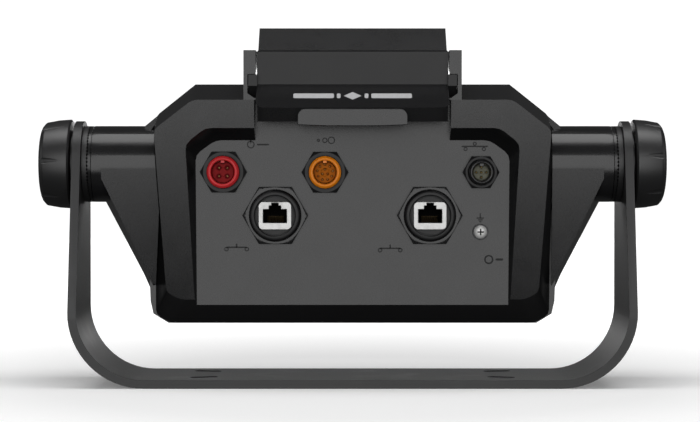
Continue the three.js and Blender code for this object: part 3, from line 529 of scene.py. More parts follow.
def material(key):
    """A finish from the list above, made the first time it is asked for."""
    made = bpy.data.materials.get(f"cradle_{key}")
    if made is None:
        made = MAKERS[key](colours())
        made.name = f"cradle_{key}"
    return made


# ---------------------------------------------------------------- settings

def length(name, description, default):
    return FloatProperty(name=name, description=description, default=default * MM, unit="LENGTH",
                         subtype="DISTANCE", min=0, precision=5)


def colour(name, description, default):
    return FloatVectorProperty(name=name, description=description, default=default, size=3,
                               subtype="COLOR", min=0, max=1)


class CradleSizes(bpy.types.PropertyGroup):
    bail_edge: length("Bail edge", "Radius of the bail sheet's edges", 0.5)
    case_edge: length("Case edge", "Radius of the cradle case's edges", 0.5)
    dock_edge: length("Dock edge", "Radius of the edges on the docking side", 0.4)
    latch_edge: length("Latch edge", "Radius of the latch arm's edges", 0.35)
    thread_pitch: length("Thread pitch", "Distance between the ridges of the socket threads", 1.0)
    thread_depth: length("Thread depth", "Depth of the socket threads", 0.45)
    ratchet_teeth: IntProperty(name="Ratchet teeth", description="Teeth on each ratchet ring", default=64,
                               min=12, max=120)
    knob_grooves: IntProperty(name="Knob grooves", description="Finger grooves round each knob", default=7,
                              min=3, max=16)


class CradleColours(bpy.types.PropertyGroup):
    case: colour("Case", "Charcoal of the cradle's case and latch", (0.011, 0.011, 0.0115))
    dock: colour("Dock", "Black of the docking side", (0.009, 0.009, 0.0095))
    knob: colour("Knob", "Charcoal of the tilt knobs", (0.013, 0.013, 0.0135))
    nut: colour("Nut", "Black of the socket nuts", (0.008, 0.008, 0.0085))
    bail: colour("Bail", "Charcoal of the bail's powder coat", (0.013, 0.013, 0.0135))
    rubber: colour("Rubber", "Black of the seals and pads", (0.018, 0.018, 0.018))
    red: colour("Red", "Red of the power socket", (0.62, 0.025, 0.03))
    orange: colour("Orange", "Orange of the sonar socket", (0.84, 0.24, 0.006))
    olive: colour("Olive", "Olive of the bus socket's insulator", (0.09, 0.09, 0.055))
    silver: colour("Silver", "Silver of the inlaid mark on the latch", (0.55, 0.55, 0.56))
    print: colour("Print", "Ink of the marks beside the sockets", (0.004, 0.004, 0.0045))


# ---------------------------------------------------------------- bail

def bail_outline(outer, inner, bend, top):
    """The bail's section from the front: one sheet bent twice, with points as (x, z)."""
    base = -TILT_AXIS.z / MM
    thickness = outer - inner
    right = arc((outer - bend, base + bend), bend, -90, 0, 16) + [(outer, top)]
    inside = [(inner, top)] + arc((outer - bend, base + bend), bend - thickness, 0, -90, 16)
    left_inside = [(-x, z) for x, z in reversed(inside)]
    left = [(-x, z) for x, z in reversed(right)]
    return right + inside + left_inside + left


def bail_side(near, far, lean_height, eyelet):
    """The bail's outline from the side: upright at the back, leaning to the eyelet in front."""
    base = -TILT_AXIS.z / MM
    lean = Vector((near, base + lean_height))
    touch = math.degrees(math.acos(eyelet / lean.length))
    towards = math.degrees(math.atan2(lean.y, lean.x)) % 360
    upright = [(near, base), (far, base), (far, 0)]
    return upright + arc((0, 0), eyelet, 0, towards - touch, 40) + [tuple(lean)]


def bail_slot(x, y, turned_by):
    """A cutter for one slanted mounting slot in the bail's base."""
    long, wide = 14, 6
    end = (long - wide) / 2
    outline = arc((end, 0), wide / 2, -90, 90) + arc((-end, 0), wide / 2, 90, 270)
    base = -TILT_AXIS.z / MM
    slot = prism("z", shifted(outline, (x, y)), base - 1, base + 6)
    return turn(slot, turned_by, "z", place("z", x, y, 0))


class CRADLE_OT_bail(bpy.types.Operator):
    """Bends the bail from one sheet, trims it to its side outline and cuts its slots and bores"""

    bl_idname = "cradle.bail"
    bl_label = "Bail"

    def execute(self, context):
        low, high = reach("bail_bracket")
        outer = high.x
        inner, bend, lean_height, stud_bore = 133.5, 37, 34, 4.6
        bail = prism("y", bail_outline(outer, inner, bend, high.z + 1), low.y - 1, high.y + 1)
        side = prism("x", bail_side(low.y, high.y, lean_height, high.z), -outer - 1, outer + 1)
        combine(bail, side, "INTERSECT")
        cut(bail, prism("x", circle(stud_bore), -outer - 1, outer + 1))
        slot_x, near_y, far_y, near_slant, far_slant = 72.7, -24, 7.4, 18, 12
        for sign in (-1, 1):
            x = sign * slot_x
            cut(bail, bail_slot(x, far_y, sign * far_slant), bail_slot(x, near_y, -sign * near_slant))
        round_edges(bail, sizes().bail_edge / MM)
        stands_for(bail, "bail_bracket", material("bail"))
        return {"FINISHED"}


# ---------------------------------------------------------------- ratchets and knobs

def both_ends(piece, node, material_key, phase=0):
    """Puts a piece of the right-hand tilt end on its node, and the same turned round on the left."""
    left = turn(copy_of(piece), 180, "z", TILT_AXIS)
    if phase:
        turn(left, phase, "x", TILT_AXIS)
    stands_for(piece, f"{node}_right", material(material_key))
    stands_for(left, f"{node}_left", material(material_key))


def ratchet(base, tip, outer, inner, teeth, height):
    """A toothed ring, made by sinking every other spoke of a spun ring's face."""
    toothed = turned("x", [(inner, base), (outer, base), (outer, tip), (inner, tip)], steps=2 * teeth)
    step = math.pi / teeth

    def valley(point):
        return abs(point.x - tip) < 0.01 and round(math.atan2(point.y, point.z) / step) % 2

    move_points(toothed, valley, (math.copysign(height, base - tip), 0, 0))
    return smooth(toothed, 25)


class CRADLE_OT_ratchets(bpy.types.Operator):
    """Cuts the fine radial teeth of the tilt ratchets on the cradle and inside the bail"""

    bl_idname = "cradle.ratchets"
    bl_label = "Ratchets"

    def execute(self, context):
        teeth, closing, height, bore = sizes().ratchet_teeth, 0.29, 0.55, 11
        low, high = reach("cradle_ratchet_right")
        both_ends(ratchet(low.x, high.x + closing, high.z, bore, teeth, height), "cradle_ratchet", "case")
        low, high = reach("bail_ratchet_right")
        both_ends(ratchet(high.x, low.x - closing, high.z, bore, teeth, height), "bail_ratchet", "bail")
        return {"FINISHED"}


STUD_BORE = 4.2
CAP_SEAT = {"radius": 16, "floor": 149.7}


def knob_profile(start, shoulder, end, root, waist):
    """The knob's section: a tapering grip, a soft shoulder and a shallow dome with a seat for the cap."""
    grip = [(root - 0.9, start), (root, start + 0.8), (root - 0.4, (start + shoulder) / 2),
            (waist, shoulder - 0.3), (waist - 0.35, shoulder + 0.2)]
    dome = [(waist - 1, end - 1.6), (waist - 1.9, end - 0.85), (17.4, end - 0.25), (16.4, end)]
    radius, floor = CAP_SEAT["radius"], CAP_SEAT["floor"]
    seat = [(radius, end - 0.15), (radius, floor), (STUD_BORE, floor)]
    return [(STUD_BORE, start)] + grip + dome + seat


def knob_groove(angle, end):
    """A cutter for one finger groove, wide at the knob's outer end. The angle is from +Z towards -Y."""
    start, reach_out, offset, narrow, wide = 142.5, end + 1, 22.8, 0.5, 3.6
    depth = (reach_out - start) * MM
    centre = place("x", 0, offset, (start + reach_out) / 2)
    bpy.ops.mesh.primitive_cone_add(
        vertices=32, radius1=narrow, radius2=wide, depth=depth, location=(0, 0, 0), end_fill_type="NGON",
    )
    cone = bpy.context.active_object
    with editing(cone):
        bpy.ops.transform.resize(value=(MM, MM, 1))
        bpy.ops.transform.rotate(value=-math.pi / 2, orient_axis="Y", center_override=(0, 0, 0))
        bpy.ops.transform.translate(value=centre)
    return turn(cone, angle, "x", TILT_AXIS)


class CRADLE_OT_knobs(bpy.types.Operator):
    """Turns the tilt knobs, cuts their finger grooves and adds their caps and washers"""

    bl_idname = "cradle.knobs"
    bl_label = "Tilt knobs"

    def execute(self, context):
        start, end = reach("knob_right")[0].x, reach("knob_cap_right")[1].x
        root, waist, first_groove, left_phase = 22.2, 20.7, 79, 10.3
        knob = turned("x", knob_profile(start, end - 2.4, end, root, waist), steps=96)
        for i in range(sizes().knob_grooves):
            cut(knob, knob_groove(first_groove + 360 * i / sizes().knob_grooves, end))
        round_edges(knob, 0.15, 2, 28)
        both_ends(knob, "knob", "knob", left_phase)

        low, high = reach("knob_cap_right")
        rim, ledge = 15.7, 12.8
        cap = turned("x", [(0, low.x), (rim, low.x), (rim, high.x - 0.3), (rim - 0.3, high.x),
                           (ledge, high.x), (ledge - 0.4, high.x - 0.4), (0, high.x - 0.2)], steps=72)
        both_ends(smooth(cap), "knob_cap", "knob")

        low, high = reach("knob_washer_right")
        flat = 16.7
        washer = turned("x", [(STUD_BORE, low.x), (flat, low.x), (flat + 0.3, low.x + 0.3),
                              (flat + 0.3, high.x - 0.3), (flat, high.x), (STUD_BORE, high.x)], steps=64)
        both_ends(smooth(washer), "knob_washer", "dock")
        return {"FINISHED"}


# ---------------------------------------------------------------- case

class CRADLE_OT_frame(bpy.types.Operator):
    """Rounds the middle of the case with its wings and trunnions"""

    bl_idname = "cradle.case_frame"
    bl_label = "Case frame"

    def execute(self, context):
        body = merged_copy("cradle_frame")
        move_points(body, self.wing_corner, (0, 6, 0))
        round_edges(body, sizes().case_edge / MM, 2, 30)
        stands_for(body, "cradle_frame", material("case"))
        return {"FINISHED"}

    @staticmethod
    def wing_corner(point):
        """The corner above each trunnion, which moves back behind the cover's edge."""
        return abs(point.x) > 102.5 and 18 < point.z < 19.5 and -9 < point.y < -7


class CRADLE_OT_cover(bpy.types.Operator):
    """Rounds the cable-side cover: its rim, socket panel, recess and latch uprights"""

    bl_idname = "cradle.cover"
    bl_label = "Rear cover"

    def execute(self, context):
        cover = merged_copy("rear_cover")
        round_edges(cover, sizes().case_edge / MM, 2, 30)
        stands_for(cover, "rear_cover", material("case"))
        return {"FINISHED"}


# ---------------------------------------------------------------- latch

SLOPE = {"low": Vector((-49, 26.6)), "high": Vector((-30, 38.5))}


def on_slope(u, v, lift):
    """A point in metres on the latch's sloping plate: u along X, v up the slope from its middle."""
    along = (SLOPE["high"] - SLOPE["low"]).normalized()
    normal = Vector((-along.y, along.x))
    y, z = (SLOPE["low"] + SLOPE["high"]) / 2 + along * v + normal * lift
    return place("y", u, z, y)


def on_plate(outline, start, end):
    """A thin piece on the sloping plate, between two heights above it."""
    floor = [on_slope(u, v, start) for u, v in outline]
    return slab(floor, on_slope(0, 0, end) - on_slope(0, 0, start))


class CRADLE_OT_latch(bpy.types.Operator):
    """Rounds the latch arm and adds its finger pad and the inlaid mark"""

    bl_idname = "cradle.latch"
    bl_label = "Latch"

    def execute(self, context):
        arm = merged_copy("latch_arm")
        move_points(arm, self.lip_foot, (0, 2.2, 0))
        round_edges(arm, sizes().latch_edge / MM, 2, 24)
        stands_for(arm, "latch_arm", material("latch"))

        low, high = reach("latch_finger_pad")
        corner, straight = 3.5, 12
        outline = [(low.x, low.z + 0.6), (-straight, low.z + 0.1), (straight, low.z + 0.1),
                   (high.x, low.z + 0.6)]
        outline += arc((high.x - corner, high.z - corner), corner, 0, 90, 10)
        outline += arc((low.x + corner, high.z - corner), corner, 90, 180, 10)
        pad = prism("y", outline, low.y, high.y)
        round_edges(pad, 0.35, 3)
        stands_for(pad, "latch_finger_pad", material("case"))

        self.make_label()
        return {"FINISHED"}

    @staticmethod
    def lip_foot(point):
        """The lower end of the pressed lip, which is tucked under a little."""
        return point.y < -46 and point.z < 21

    def make_label(self):
        """A gloss black plate on the slope, with a plain silver mark."""
        half_width = reach("latch_arm")[1].x - 4.4
        half_height = (SLOPE["high"] - SLOPE["low"]).length / 2
        corner = 5.5
        outline = [(half_width, half_height), (-half_width, half_height)]
        outline += arc((-half_width + corner, -half_height + corner), corner, 180, 270, 8)
        outline += arc((half_width - corner, -half_height + corner), corner, 270, 360, 8)
        plate = on_plate(outline, -0.2, 0.12)
        dress(smooth(plate), "latch_label", material("gloss_black"), "latch")

        under, face, half = 0.1, 0.22, 2.2
        mark = []
        for sign in (-1, 1):
            for inner, outer in ((9, 28.5), (5.8, 7.6)):
                edges = sorted((sign * inner, sign * outer))
                mark.append(on_plate(rounded(edges[0], -half, edges[1], half, 0.8, 4), under, face))
        mark.append(on_plate([(4.2, 0), (0, 3.6), (-4.2, 0), (0, -3.6)], under, face))
        dress(smooth(joined(mark)), "latch_mark", material("silver"), "latch")


# ---------------------------------------------------------------- sockets

SOCKET_FLOOR = -16.8


def thread(radius, start, end, pitch, depth):
    """Profile points for a thread that runs along an axis, as ridges of (radius, place)."""
    count = int(abs(end - start) / pitch)
    step = math.copysign(pitch, end - start)
    points = []
    for i in range(count):
        points += [(radius - depth, start + step * i), (radius, start + step * (i + 0.35)),
                   (radius, start + step * (i + 0.6))]
    return points + [(radius - depth, start + step * count)]


def flanged_tail(radius, front, back, flange, tail, end):
    """The flange that a socket bears on behind the panel, and its tail, as profile points."""
    return [(radius, front), (flange, front), (flange, back), (tail, back), (tail, end), (0, end)]


def threaded_socket(node, centre, look):
    """A round socket body with a rounded mouth, a thread and a flange behind the panel."""
    low, high = reach(node)
    bore, radius, mouth = look["bore"], look["radius"], low.y
    thread_end, flange_front, flange_back = -13.8, -13.5, -11.5
    pitch, depth = sizes().thread_pitch / MM, sizes().thread_depth / MM
    profile = [(0, SOCKET_FLOOR), (bore, SOCKET_FLOOR), (bore, mouth + 0.7), (bore + 0.25, mouth + 0.2),
               (bore + 0.7, mouth), (radius - 1.1, mouth), (radius - 0.6, mouth + 0.25)]
    profile += thread(radius, mouth + 0.9, thread_end, pitch, depth)
    profile += flanged_tail(radius, flange_front, flange_back, look["flange"], look["tail"], high.y)
    return turned("y", profile, centre, 56)


def panel_nut(node, centre, bore, across_flats, shoulder):
    """A hexagonal nut whose front corners are turned off to a round shoulder."""
    low, high = reach(node)
    corner = across_flats / math.sqrt(3)
    nut = prism("y", hexagon(across_flats, centre), low.y, high.y)
    flat = across_flats / 2
    past_corner = corner + 0.1
    lathe = turned("y", [(0, low.y - 1), (flat - shoulder, low.y - 1), (flat - shoulder, low.y),
                         (past_corner, low.y + 1), (past_corner, high.y + 1), (0, high.y + 1)], centre, 64)
    combine(nut, lathe, "INTERSECT")
    cut(nut, prism("y", circle(bore, centre, 48), low.y - 2, high.y + 2))
    return round_edges(nut, 0.22, 2, 25)


def pin(centre, radius, tip, root):
    """A contact pin with a rounded tip."""
    profile = [(0, tip), (radius * 0.6, tip + 0.1), (radius, tip + radius), (radius, root), (0, root)]
    return turned("y", profile, centre, 12)


def pin_ring(count, radius, start=90):
    return arc((0, 0), radius, start, start + 360, count)[:-1]


LARGE_BODY = {"bore": 5.7, "radius": 7.8, "flange": 10.5, "tail": 7, "flats": 20, "nut_bore": 8.1}
SMALL_BODY = {"bore": 4.3, "radius": 6.2, "flange": 9, "tail": 5.5, "flats": 15.6, "nut_bore": 6.5}

ROUND_SOCKETS = {
    "power": {
        **LARGE_BODY, "finish": "red", "insulator": "deep_red", "hole": 1.35, "pin": 0.5, "tip": -20.6,
        "pins": [(u, v) for u in (-2.04, 2.04) for v in (-2.04, 2.04)],
    },
    "sonar": {
        **LARGE_BODY, "finish": "orange", "insulator": "deep_orange", "hole": 0.62, "pin": 0.35,
        "tip": -23.2, "pins": pin_ring(9, 3.8) + pin_ring(3, 1.5),
    },
    "bus": {
        **SMALL_BODY, "finish": "case", "insulator": "olive", "hole": 0.7, "pin": 0.42, "tip": -23.8,
        "pins": pin_ring(4, 2.5) + [(0, 0)],
    },
}


class CRADLE_OT_round_sockets(bpy.types.Operator):
    """Turns the power, sonar and bus sockets with their inserts, pins and nuts"""

    bl_idname = "cradle.round_sockets"
    bl_label = "Round sockets"

    def execute(self, context):
        for name, look in ROUND_SOCKETS.items():
            spot = middle(f"{name}_socket")
            centre = (spot.x, spot.z)
            self.make_body(name, look, centre)
            self.make_inside(name, look, centre)
            nut = panel_nut(f"{name}_nut", centre, look["nut_bore"], look["flats"], 0.2)
            stands_for(nut, f"{name}_nut", material("nut"))
        return {"FINISHED"}

    def make_body(self, name, look, centre):
        body = threaded_socket(f"{name}_socket", centre, look)
        low = reach(f"{name}_socket")[0]
        key_top = look["bore"] + 0.4
        key = rounded(-0.9, key_top - 1.6, 0.9, key_top, 0.3, 3)
        add(body, prism("y", shifted(key, centre), low.y + 1.2, SOCKET_FLOOR - 4.9))
        smooth(body, 38)
        stands_for(body, f"{name}_socket", material(look["finish"]))

    def make_inside(self, name, look, centre):
        low, high = reach(f"{name}_insulator")
        rim = look["bore"] - 0.35
        disc = turned("y", [(0, low.y + 0.3), (rim * 0.35, low.y + 0.3), (rim * 0.4, low.y),
                            (rim - 0.3, low.y), (rim, low.y + 0.3), (rim, high.y), (0, high.y)], centre, 40)
        for spot in shifted(look["pins"], centre):
            cut(disc, prism("y", circle(look["hole"], spot, 16), low.y - 1, high.y - 0.6))
        key_top = look["bore"] + 0.4
        slot = rounded(-1.2, key_top - 2.0, 1.2, key_top + 1, 0.3, 3)
        cut(disc, prism("y", shifted(slot, centre), low.y - 1, high.y - 0.6))
        stands_for(smooth(disc, 38), f"{name}_insulator", material(look["insulator"]))

        back = reach(f"{name}_contacts")[1].y
        rim = look["bore"] - 0.6
        web = turned("y", [(0, back - 0.6), (rim, back - 0.6), (rim, back), (0, back)], centre, 24)
        pins = [pin(spot, look["pin"], look["tip"], back - 0.3) for spot in shifted(look["pins"], centre)]
        stands_for(smooth(add(web, *pins), 50), f"{name}_contacts", material("gold"))


JACK_OPENING = mirrored([(5.85, -3.55), (5.85, 3.2), (3, 3.2), (3, 4.95), (1.75, 4.95), (1.75, 6.3)])
JACK_CORNER = 2.2


class CRADLE_OT_network_sockets(bpy.types.Operator):
    """Models the two network sockets: threaded shell, shielded jack, contacts and nut"""

    bl_idname = "cradle.network_sockets"
    bl_label = "Network sockets"

    def execute(self, context):
        for side in ("left", "right"):
            spot = middle(f"network_{side}_shell")
            centre = (spot.x, spot.z)
            self.make_shell(f"network_{side}_shell", centre)
            self.make_jack(side, centre)
            nut = panel_nut(f"network_{side}_nut", centre, 12.7, 28, 0.2)
            stands_for(nut, f"network_{side}_nut", material("case"))
        return {"FINISHED"}

    def make_shell(self, node, centre):
        low, high = reach(node)
        floor, bore, radius = -25, 9.8, 12.4
        thread_end, flange_front, flange_back, flange, tail = -14.8, -14.7, -12.7, 14.5, 11.8
        pitch, depth = sizes().thread_pitch * 1.5 / MM, sizes().thread_depth / MM
        profile = [(0, floor), (bore - 0.6, floor), (bore - 0.5, floor + 0.5), (bore, floor + 0.5),
                   (bore, low.y + 0.5), (bore + 0.5, low.y), (radius - 1, low.y),
                   (radius - 0.45, low.y + 0.4)]
        profile += thread(radius, low.y + 1, thread_end, pitch, depth)
        profile += flanged_tail(radius, flange_front, flange_back, flange, tail, high.y)
        shell = turned("y", profile, centre, 72)
        jack_low, jack_high = reach(node.replace("shell", "jack"))
        gap = 0.25
        hole = rounded(jack_low.x - gap, jack_low.z - gap,
                       jack_high.x + gap, jack_high.z + gap, JACK_CORNER)
        cut(shell, prism("y", hole, low.y - 1, high.y + 1))
        stands_for(smooth(shell, 38), node, material("nut"))

    def make_jack(self, side, centre):
        low, high = reach(f"network_{side}_jack")
        floor = -13.8
        jack = prism("y", rounded(low.x, low.z, high.x, high.z, JACK_CORNER, 8), low.y, high.y)
        cut(jack, prism("y", shifted(JACK_OPENING, centre), low.y - 1, floor))
        round_edges(jack, 0.25, 3, 40)
        stands_for(jack, f"network_{side}_jack", material("nickel"))
        self.make_liner(side, centre, low.y)
        self.make_contacts(side, centre)

    def make_liner(self, side, centre, mouth):
        """The jack's black moulded inside, as a thin-walled cup, in a near-black that is partly painted
        shade.
        """
        wall, fit, back, floor = 0.3, 0.995, -14, -14.3
        outside = [(u * fit, v * fit) for u, v in JACK_OPENING]
        inside = [(u - math.copysign(wall, u), v + (wall if v < 0 else -wall)) for u, v in JACK_OPENING]
        liner = prism("y", shifted(outside, centre), mouth + 0.7, back)
        cut(liner, prism("y", shifted(inside, centre), mouth - 1, floor))
        dress(smooth(liner), f"network_{side}_liner", material("painted_shade_black"), "cradle")

    def make_contacts(self, side, centre):
        """Eight sprung fingers on one moulded bar."""
        count, pitch, half_width = 8, 1.02, 0.22
        finger = [(-22.8, -3.1), (-22.4, -3.2), (-14.9, -1.2), (-14.9, -0.6), (-15.3, -0.6), (-22.6, -2.8)]
        holder = prism("y", shifted([(-4, -3.2), (4, -3.2), (4, -0.4), (-4, -0.4)], centre), -15.1, -14.3)
        pieces = [holder]
        for i in range(count):
            x = centre[0] + pitch * (i - (count - 1) / 2)
            pieces.append(prism("x", shifted(finger, (0, centre[1])), x - half_width, x + half_width))
        stands_for(smooth(joined(pieces)), f"network_{side}_contacts", material("dull_gold"))


def cross_recess(centre, size, start, end):
    """A cutter for a cross recess."""
    blade = size / 4.5
    arms = []
    for wide, tall in ((size, blade), (blade, size)):
        arms.append(prism("y", shifted(rounded(-wide, -tall, wide, tall, 0.05, 1), centre), start, end))
    return add(*arms)


class CRADLE_OT_ground_point(bpy.types.Operator):
    """Turns the pan-head ground screw and its washer"""

    bl_idname = "cradle.ground_point"
    bl_label = "Ground point"

    def execute(self, context):
        spot = middle("ground_screw")
        centre = (spot.x, spot.z)
        low, high = reach("ground_screw")
        under_head, head, shank, threads_from, pitch, depth = -19.4, 3.25, 1.45, -17.5, 0.7, 0.25
        dome = [(0, low.y), (1.2, low.y + 0.05), (2.2, low.y + 0.35), (2.9, low.y + 0.95),
                (head, low.y + 1.7)]
        neck = [(head, under_head - 0.1), (3.1, under_head), (shank, under_head)]
        ridges = thread(shank, threads_from, high.y, pitch, depth)[1:-1]
        screw = turned("y", dome + neck + ridges + [(0, high.y)], centre, 40)
        cut(screw, cross_recess(centre, 1.6, low.y - 1, low.y + 1.6))
        # A black cross set just inside the cross recess: painted shadow that darkens the recess.
        shadow = cross_recess(centre, 1.55, low.y + 0.7, low.y + 1.5)
        dress(smooth(shadow), "ground_screw_recess_painted_shadow", material("painted_shade_black"), "cradle")
        stands_for(smooth(screw), "ground_screw", material("nickel"))
        low, high = reach("ground_washer")
        bore, rim = 1.75, 3.9
        washer = turned("y", [(bore, low.y), (rim - 0.2, low.y), (rim, low.y + 0.2), (rim, high.y),
                              (bore, high.y)], centre, 40)
        # The washer's near-black steel is painted shade round the screw head.
        stands_for(smooth(washer), "ground_washer", material("washer_painted_shade"))
        return {"FINISHED"}


# ---------------------------------------------------------------- printed marks

PANEL_Y = -18
INK = 0.06


def bar(centre, half_width, half_height):
    x, z = centre
    corner = min(half_width, half_height) * 0.9
    outline = rounded(x - half_width, z - half_height, x + half_width, z + half_height, corner, 3)
    return prism("y", outline, PANEL_Y - INK, PANEL_Y + INK)


def ring(centre, radius, line):
    return turned("y", [(radius - line, PANEL_Y - INK), (radius, PANEL_Y - INK), (radius, PANEL_Y + INK),
                        (radius - line, PANEL_Y + INK)], centre, 28)


def power_mark(x, z):
    return [ring((x, z), 1.9, 0.55), bar((x, z + 1.7), 0.3, 1.2), bar((x + 6, z), 3, 0.4)]


def wave_mark(x, z):
    return [ring((x - 4 + 3.2 * i, z), 0.8 + 0.5 * i, 0.45) for i in range(3)]


def bus_mark(x, z):
    return [bar((x, z), 6.5, 0.35)] + [ring((x + 4.5 * i, z + 1.3 * (-1) ** i), 1, 0.5) for i in (-1, 0, 1)]


def network_mark(x, z):
    ends = [ring((x + 5 * i, z - 0.9), 1.1, 0.5) for i in (-1, 1)]
    return [bar((x, z), 5, 0.35), bar((x, z + 0.9), 0.35, 1)] + ends


def earth_mark(x, z):
    return [bar((x, z + 1.2), 0.3, 1.2), bar((x, z), 1.9, 0.3), bar((x, z - 0.9), 1.2, 0.3),
            bar((x, z - 1.8), 0.6, 0.3)]


def plain_mark(x, z):
    return [ring((x, z), 2.3, 0.8), bar((x + 5.2, z), 1.9, 0.55)]


MARKS = {
    "power_mark": (power_mark, -50, 9.5),
    "sonar_mark": (wave_mark, -12.8, 11.6),
    "bus_mark": (bus_mark, 60, 8.6),
    "network_left_mark": (network_mark, -57, -41),
    "network_right_mark": (network_mark, 18.5, -41.5),
    "earth_mark": (earth_mark, 62.8, -26.6),
    "approval_mark": (plain_mark, 67, -47),
}


class CRADLE_OT_marks(bpy.types.Operator):
    """Prints the plain pictograms beside the sockets"""

    bl_idname = "cradle.marks"
    bl_label = "Printed marks"

    def execute(self, context):
        for name, (draw, x, z) in MARKS.items():
            mark = joined(draw(x, z))
            dress(smooth(mark), name, material("print"), "cradle")
        return {"FINISHED"}


# ---------------------------------------------------------------- docking side

DOCK_PIECES = {
    "dock_plate": "dock",
    "dock_shelf": "dock",
    "dock_connector": "nut",
    "dock_seal": "rubber",
    "dock_bumper_left": "rubber",
    "dock_bumper_right": "rubber",
}


class CRADLE_OT_dock_side(bpy.types.Operator):
    """Rounds the plate, shelf, connector and pads that the display docks on"""

    bl_idname = "cradle.dock_side"
    bl_label = "Docking side"

    def execute(self, context):
        for node, key in DOCK_PIECES.items():
            piece = merged_copy(node)
            round_edges(piece, sizes().dock_edge / MM, 2, 30)
            stands_for(piece, node, material(key))
        return {"FINISHED"}


# ---------------------------------------------------------------- pieces that keep their CAD shape

PLAIN_PIECES = {
    "steel": [
        "knob_stud_left", "knob_stud_right", "latch_hinge_pin", "latch_spring_left", "latch_spring_right",
        "case_screw_1", "case_screw_2", "case_screw_3", "case_screw_4",
    ],
    "brass": ["trunnion_insert_left", "trunnion_insert_right"],
    "gold": ["dock_contacts"],
    "rubber": ["frame_seal", "power_gasket", "sonar_gasket", "bus_gasket"],
    "board": ["main_board"],
}


class CRADLE_OT_plain_pieces(bpy.types.Operator):
    """Gives the inner and small pieces their finishes"""

    bl_idname = "cradle.plain_pieces"
    bl_label = "Inner pieces"

    def execute(self, context):
        for key, nodes in PLAIN_PIECES.items():
            for node in nodes:
                slots = frame["nodes"][node].material_slots
                if not slots:
                    raise RuntimeError(f"{node} has no material slot")
                for slot in slots:
                    slot.material = material(key)
        return {"FINISHED"}


# ---------------------------------------------------------------- stage

def area_light(name, location, target, size, power):
    bpy.ops.object.light_add(type="AREA", location=location)
    light = bpy.context.active_object
    light.name = name
    light.data.shape = "RECTANGLE"
    light.data.size, light.data.size_y = size
    light.data.energy = power
    light.visible_camera = False
    light.rotation_euler = (Vector(target) - Vector(location)).to_track_quat("-Z", "Y").to_euler()


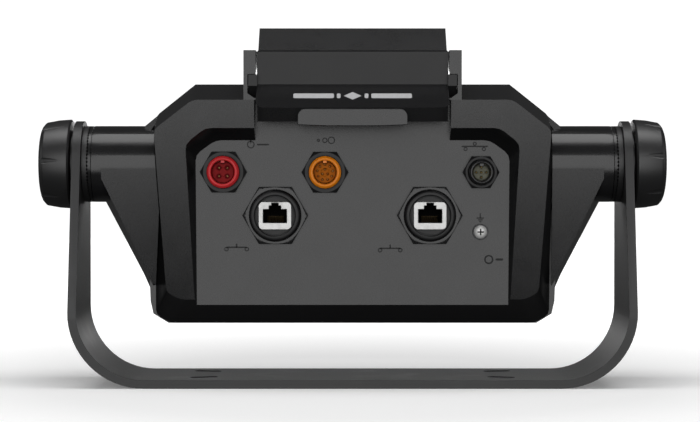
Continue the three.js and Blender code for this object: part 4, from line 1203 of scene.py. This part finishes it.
class CRADLE_OT_stage(bpy.types.Operator):
    """Sets up the pale sweep, the soft lights and the camera"""

    bl_idname = "cradle.stage"
    bl_label = "Stage"

    def execute(self, context):
        self.make_sweep()
        self.make_lights(context)
        self.make_camera(context)
        return {"FINISHED"}

    def make_sweep(self):
        """A round floor that curves up into a backdrop on every side. Its glow fades towards the middle, so
        round the object the lamps light it and cast their shadows, and the fade itself is painted shade
        there.
        """
        floor_z = -TILT_AXIS.z / MM - 0.05
        radius, bend, top = 3200, 900, 3200
        corner = arc((radius - bend, floor_z + bend), bend, -90, 0, 16)
        sweep = turned("z", [(0, floor_z)] + corner + [(radius, top)], steps=96)
        with editing(sweep):
            bpy.ops.mesh.flip_normals()
        only(sweep)
        bpy.ops.object.shade_smooth()
        sweep.name = "studio_sweep"
        paper = Finish("pale paper", Roughness=0.9, Emission_Strength=0.96)
        flat = paper.node("ShaderNodeMapping", inputs={"Vector": paper.place, "Scale": (1, 1, 0)})
        from_middle = paper.node("ShaderNodeVectorMath", {"operation": "LENGTH"}, {0: flat}, "Value")
        # Emission falls from full at 0.55 m to 0.16 within 0.15 m of the middle: painted shade round the
        # object, on top of the lamps' real shadows.
        paper.feed(Base_Color=paper.mix(paper.noise(900, 1), (0.84, 0.84, 0.84, 1), (0.86, 0.86, 0.86, 1)),
                   Emission_Color=paper.ramp(from_middle, (0.15, 0.16), (0.55, 1)))
        sweep.data.materials.append(paper.material)
        for ray in ("glossy", "diffuse", "shadow"):
            setattr(sweep, f"visible_{ray}", False)

    def make_lights(self, context):
        world = bpy.data.worlds.new("studio")
        world.use_nodes = True
        world.node_tree.nodes["Background"].inputs["Color"].default_value = (1, 1, 1, 1)
        world.node_tree.nodes["Background"].inputs["Strength"].default_value = 0.05
        context.scene.world = world
        area_light("front_softbox", (0, -1.8, 0.31), (0, 0, 0.31), (2.2, 1.38), 23.5)
        area_light("overhead_softbox", (0, -0.15, 1.35), (0, -0.15, 0), (1.8, 0.7), 15.5)
        area_light("back_softbox", (0, 2.2, 0.2), (0, 0, 0.1), (2.4, 0.12), 3.4)
        for side, sign in (("left", -1), ("right", 1)):
            area_light(f"{side}_softbox", (sign * 1.9, 0.1, 0.4), (0, 0, 0.12), (1.4, 0.7), 2)
        context.scene.view_settings.view_transform = "Standard"

    def make_camera(self, context):
        distance, height, offset, pitch = 1071, -2, -1.25, 1.15
        location = place("y", offset, height, -distance)
        bpy.ops.object.camera_add(location=location, rotation=(math.radians(90 - pitch), 0, 0))
        camera = bpy.context.active_object
        camera.data.sensor_width = 36
        camera.data.lens = 110.2
        camera.data.clip_start = 0.05
        camera.data.clip_end = 20
        context.scene.camera = camera


# ---------------------------------------------------------------- add-on

STEPS = (
    CRADLE_OT_bail, CRADLE_OT_ratchets, CRADLE_OT_knobs, CRADLE_OT_frame, CRADLE_OT_cover, CRADLE_OT_latch,
    CRADLE_OT_round_sockets, CRADLE_OT_network_sockets, CRADLE_OT_ground_point, CRADLE_OT_marks,
    CRADLE_OT_dock_side, CRADLE_OT_plain_pieces, CRADLE_OT_stage,
)


class CRADLE_PT_panel(bpy.types.Panel):
    """Lists the cradle's settings and pieces"""

    bl_idname = "CRADLE_PT_panel"
    bl_label = "Docking cradle"
    bl_space_type = "VIEW_3D"
    bl_region_type = "UI"
    bl_category = "Cradle"

    def draw(self, context):
        for group in (context.scene.cradle_sizes, context.scene.cradle_colours):
            for name in group.__annotations__:
                self.layout.prop(group, name)
        for step in STEPS:
            self.layout.operator(step.bl_idname)


CLASSES = (CradleSizes, CradleColours) + STEPS + (CRADLE_PT_panel,)


def register():
    for cls in CLASSES:
        bpy.utils.register_class(cls)
    bpy.types.Scene.cradle_sizes = PointerProperty(type=CradleSizes)
    bpy.types.Scene.cradle_colours = PointerProperty(type=CradleColours)


def unregister():
    del bpy.types.Scene.cradle_colours
    del bpy.types.Scene.cradle_sizes
    for cls in reversed(CLASSES):
        bpy.utils.unregister_class(cls)


def main():
    register()
    for step in STEPS:
        group, name = step.bl_idname.split(".")
        getattr(getattr(bpy.ops, group), name)()


if __name__ == "__main__":
    main()
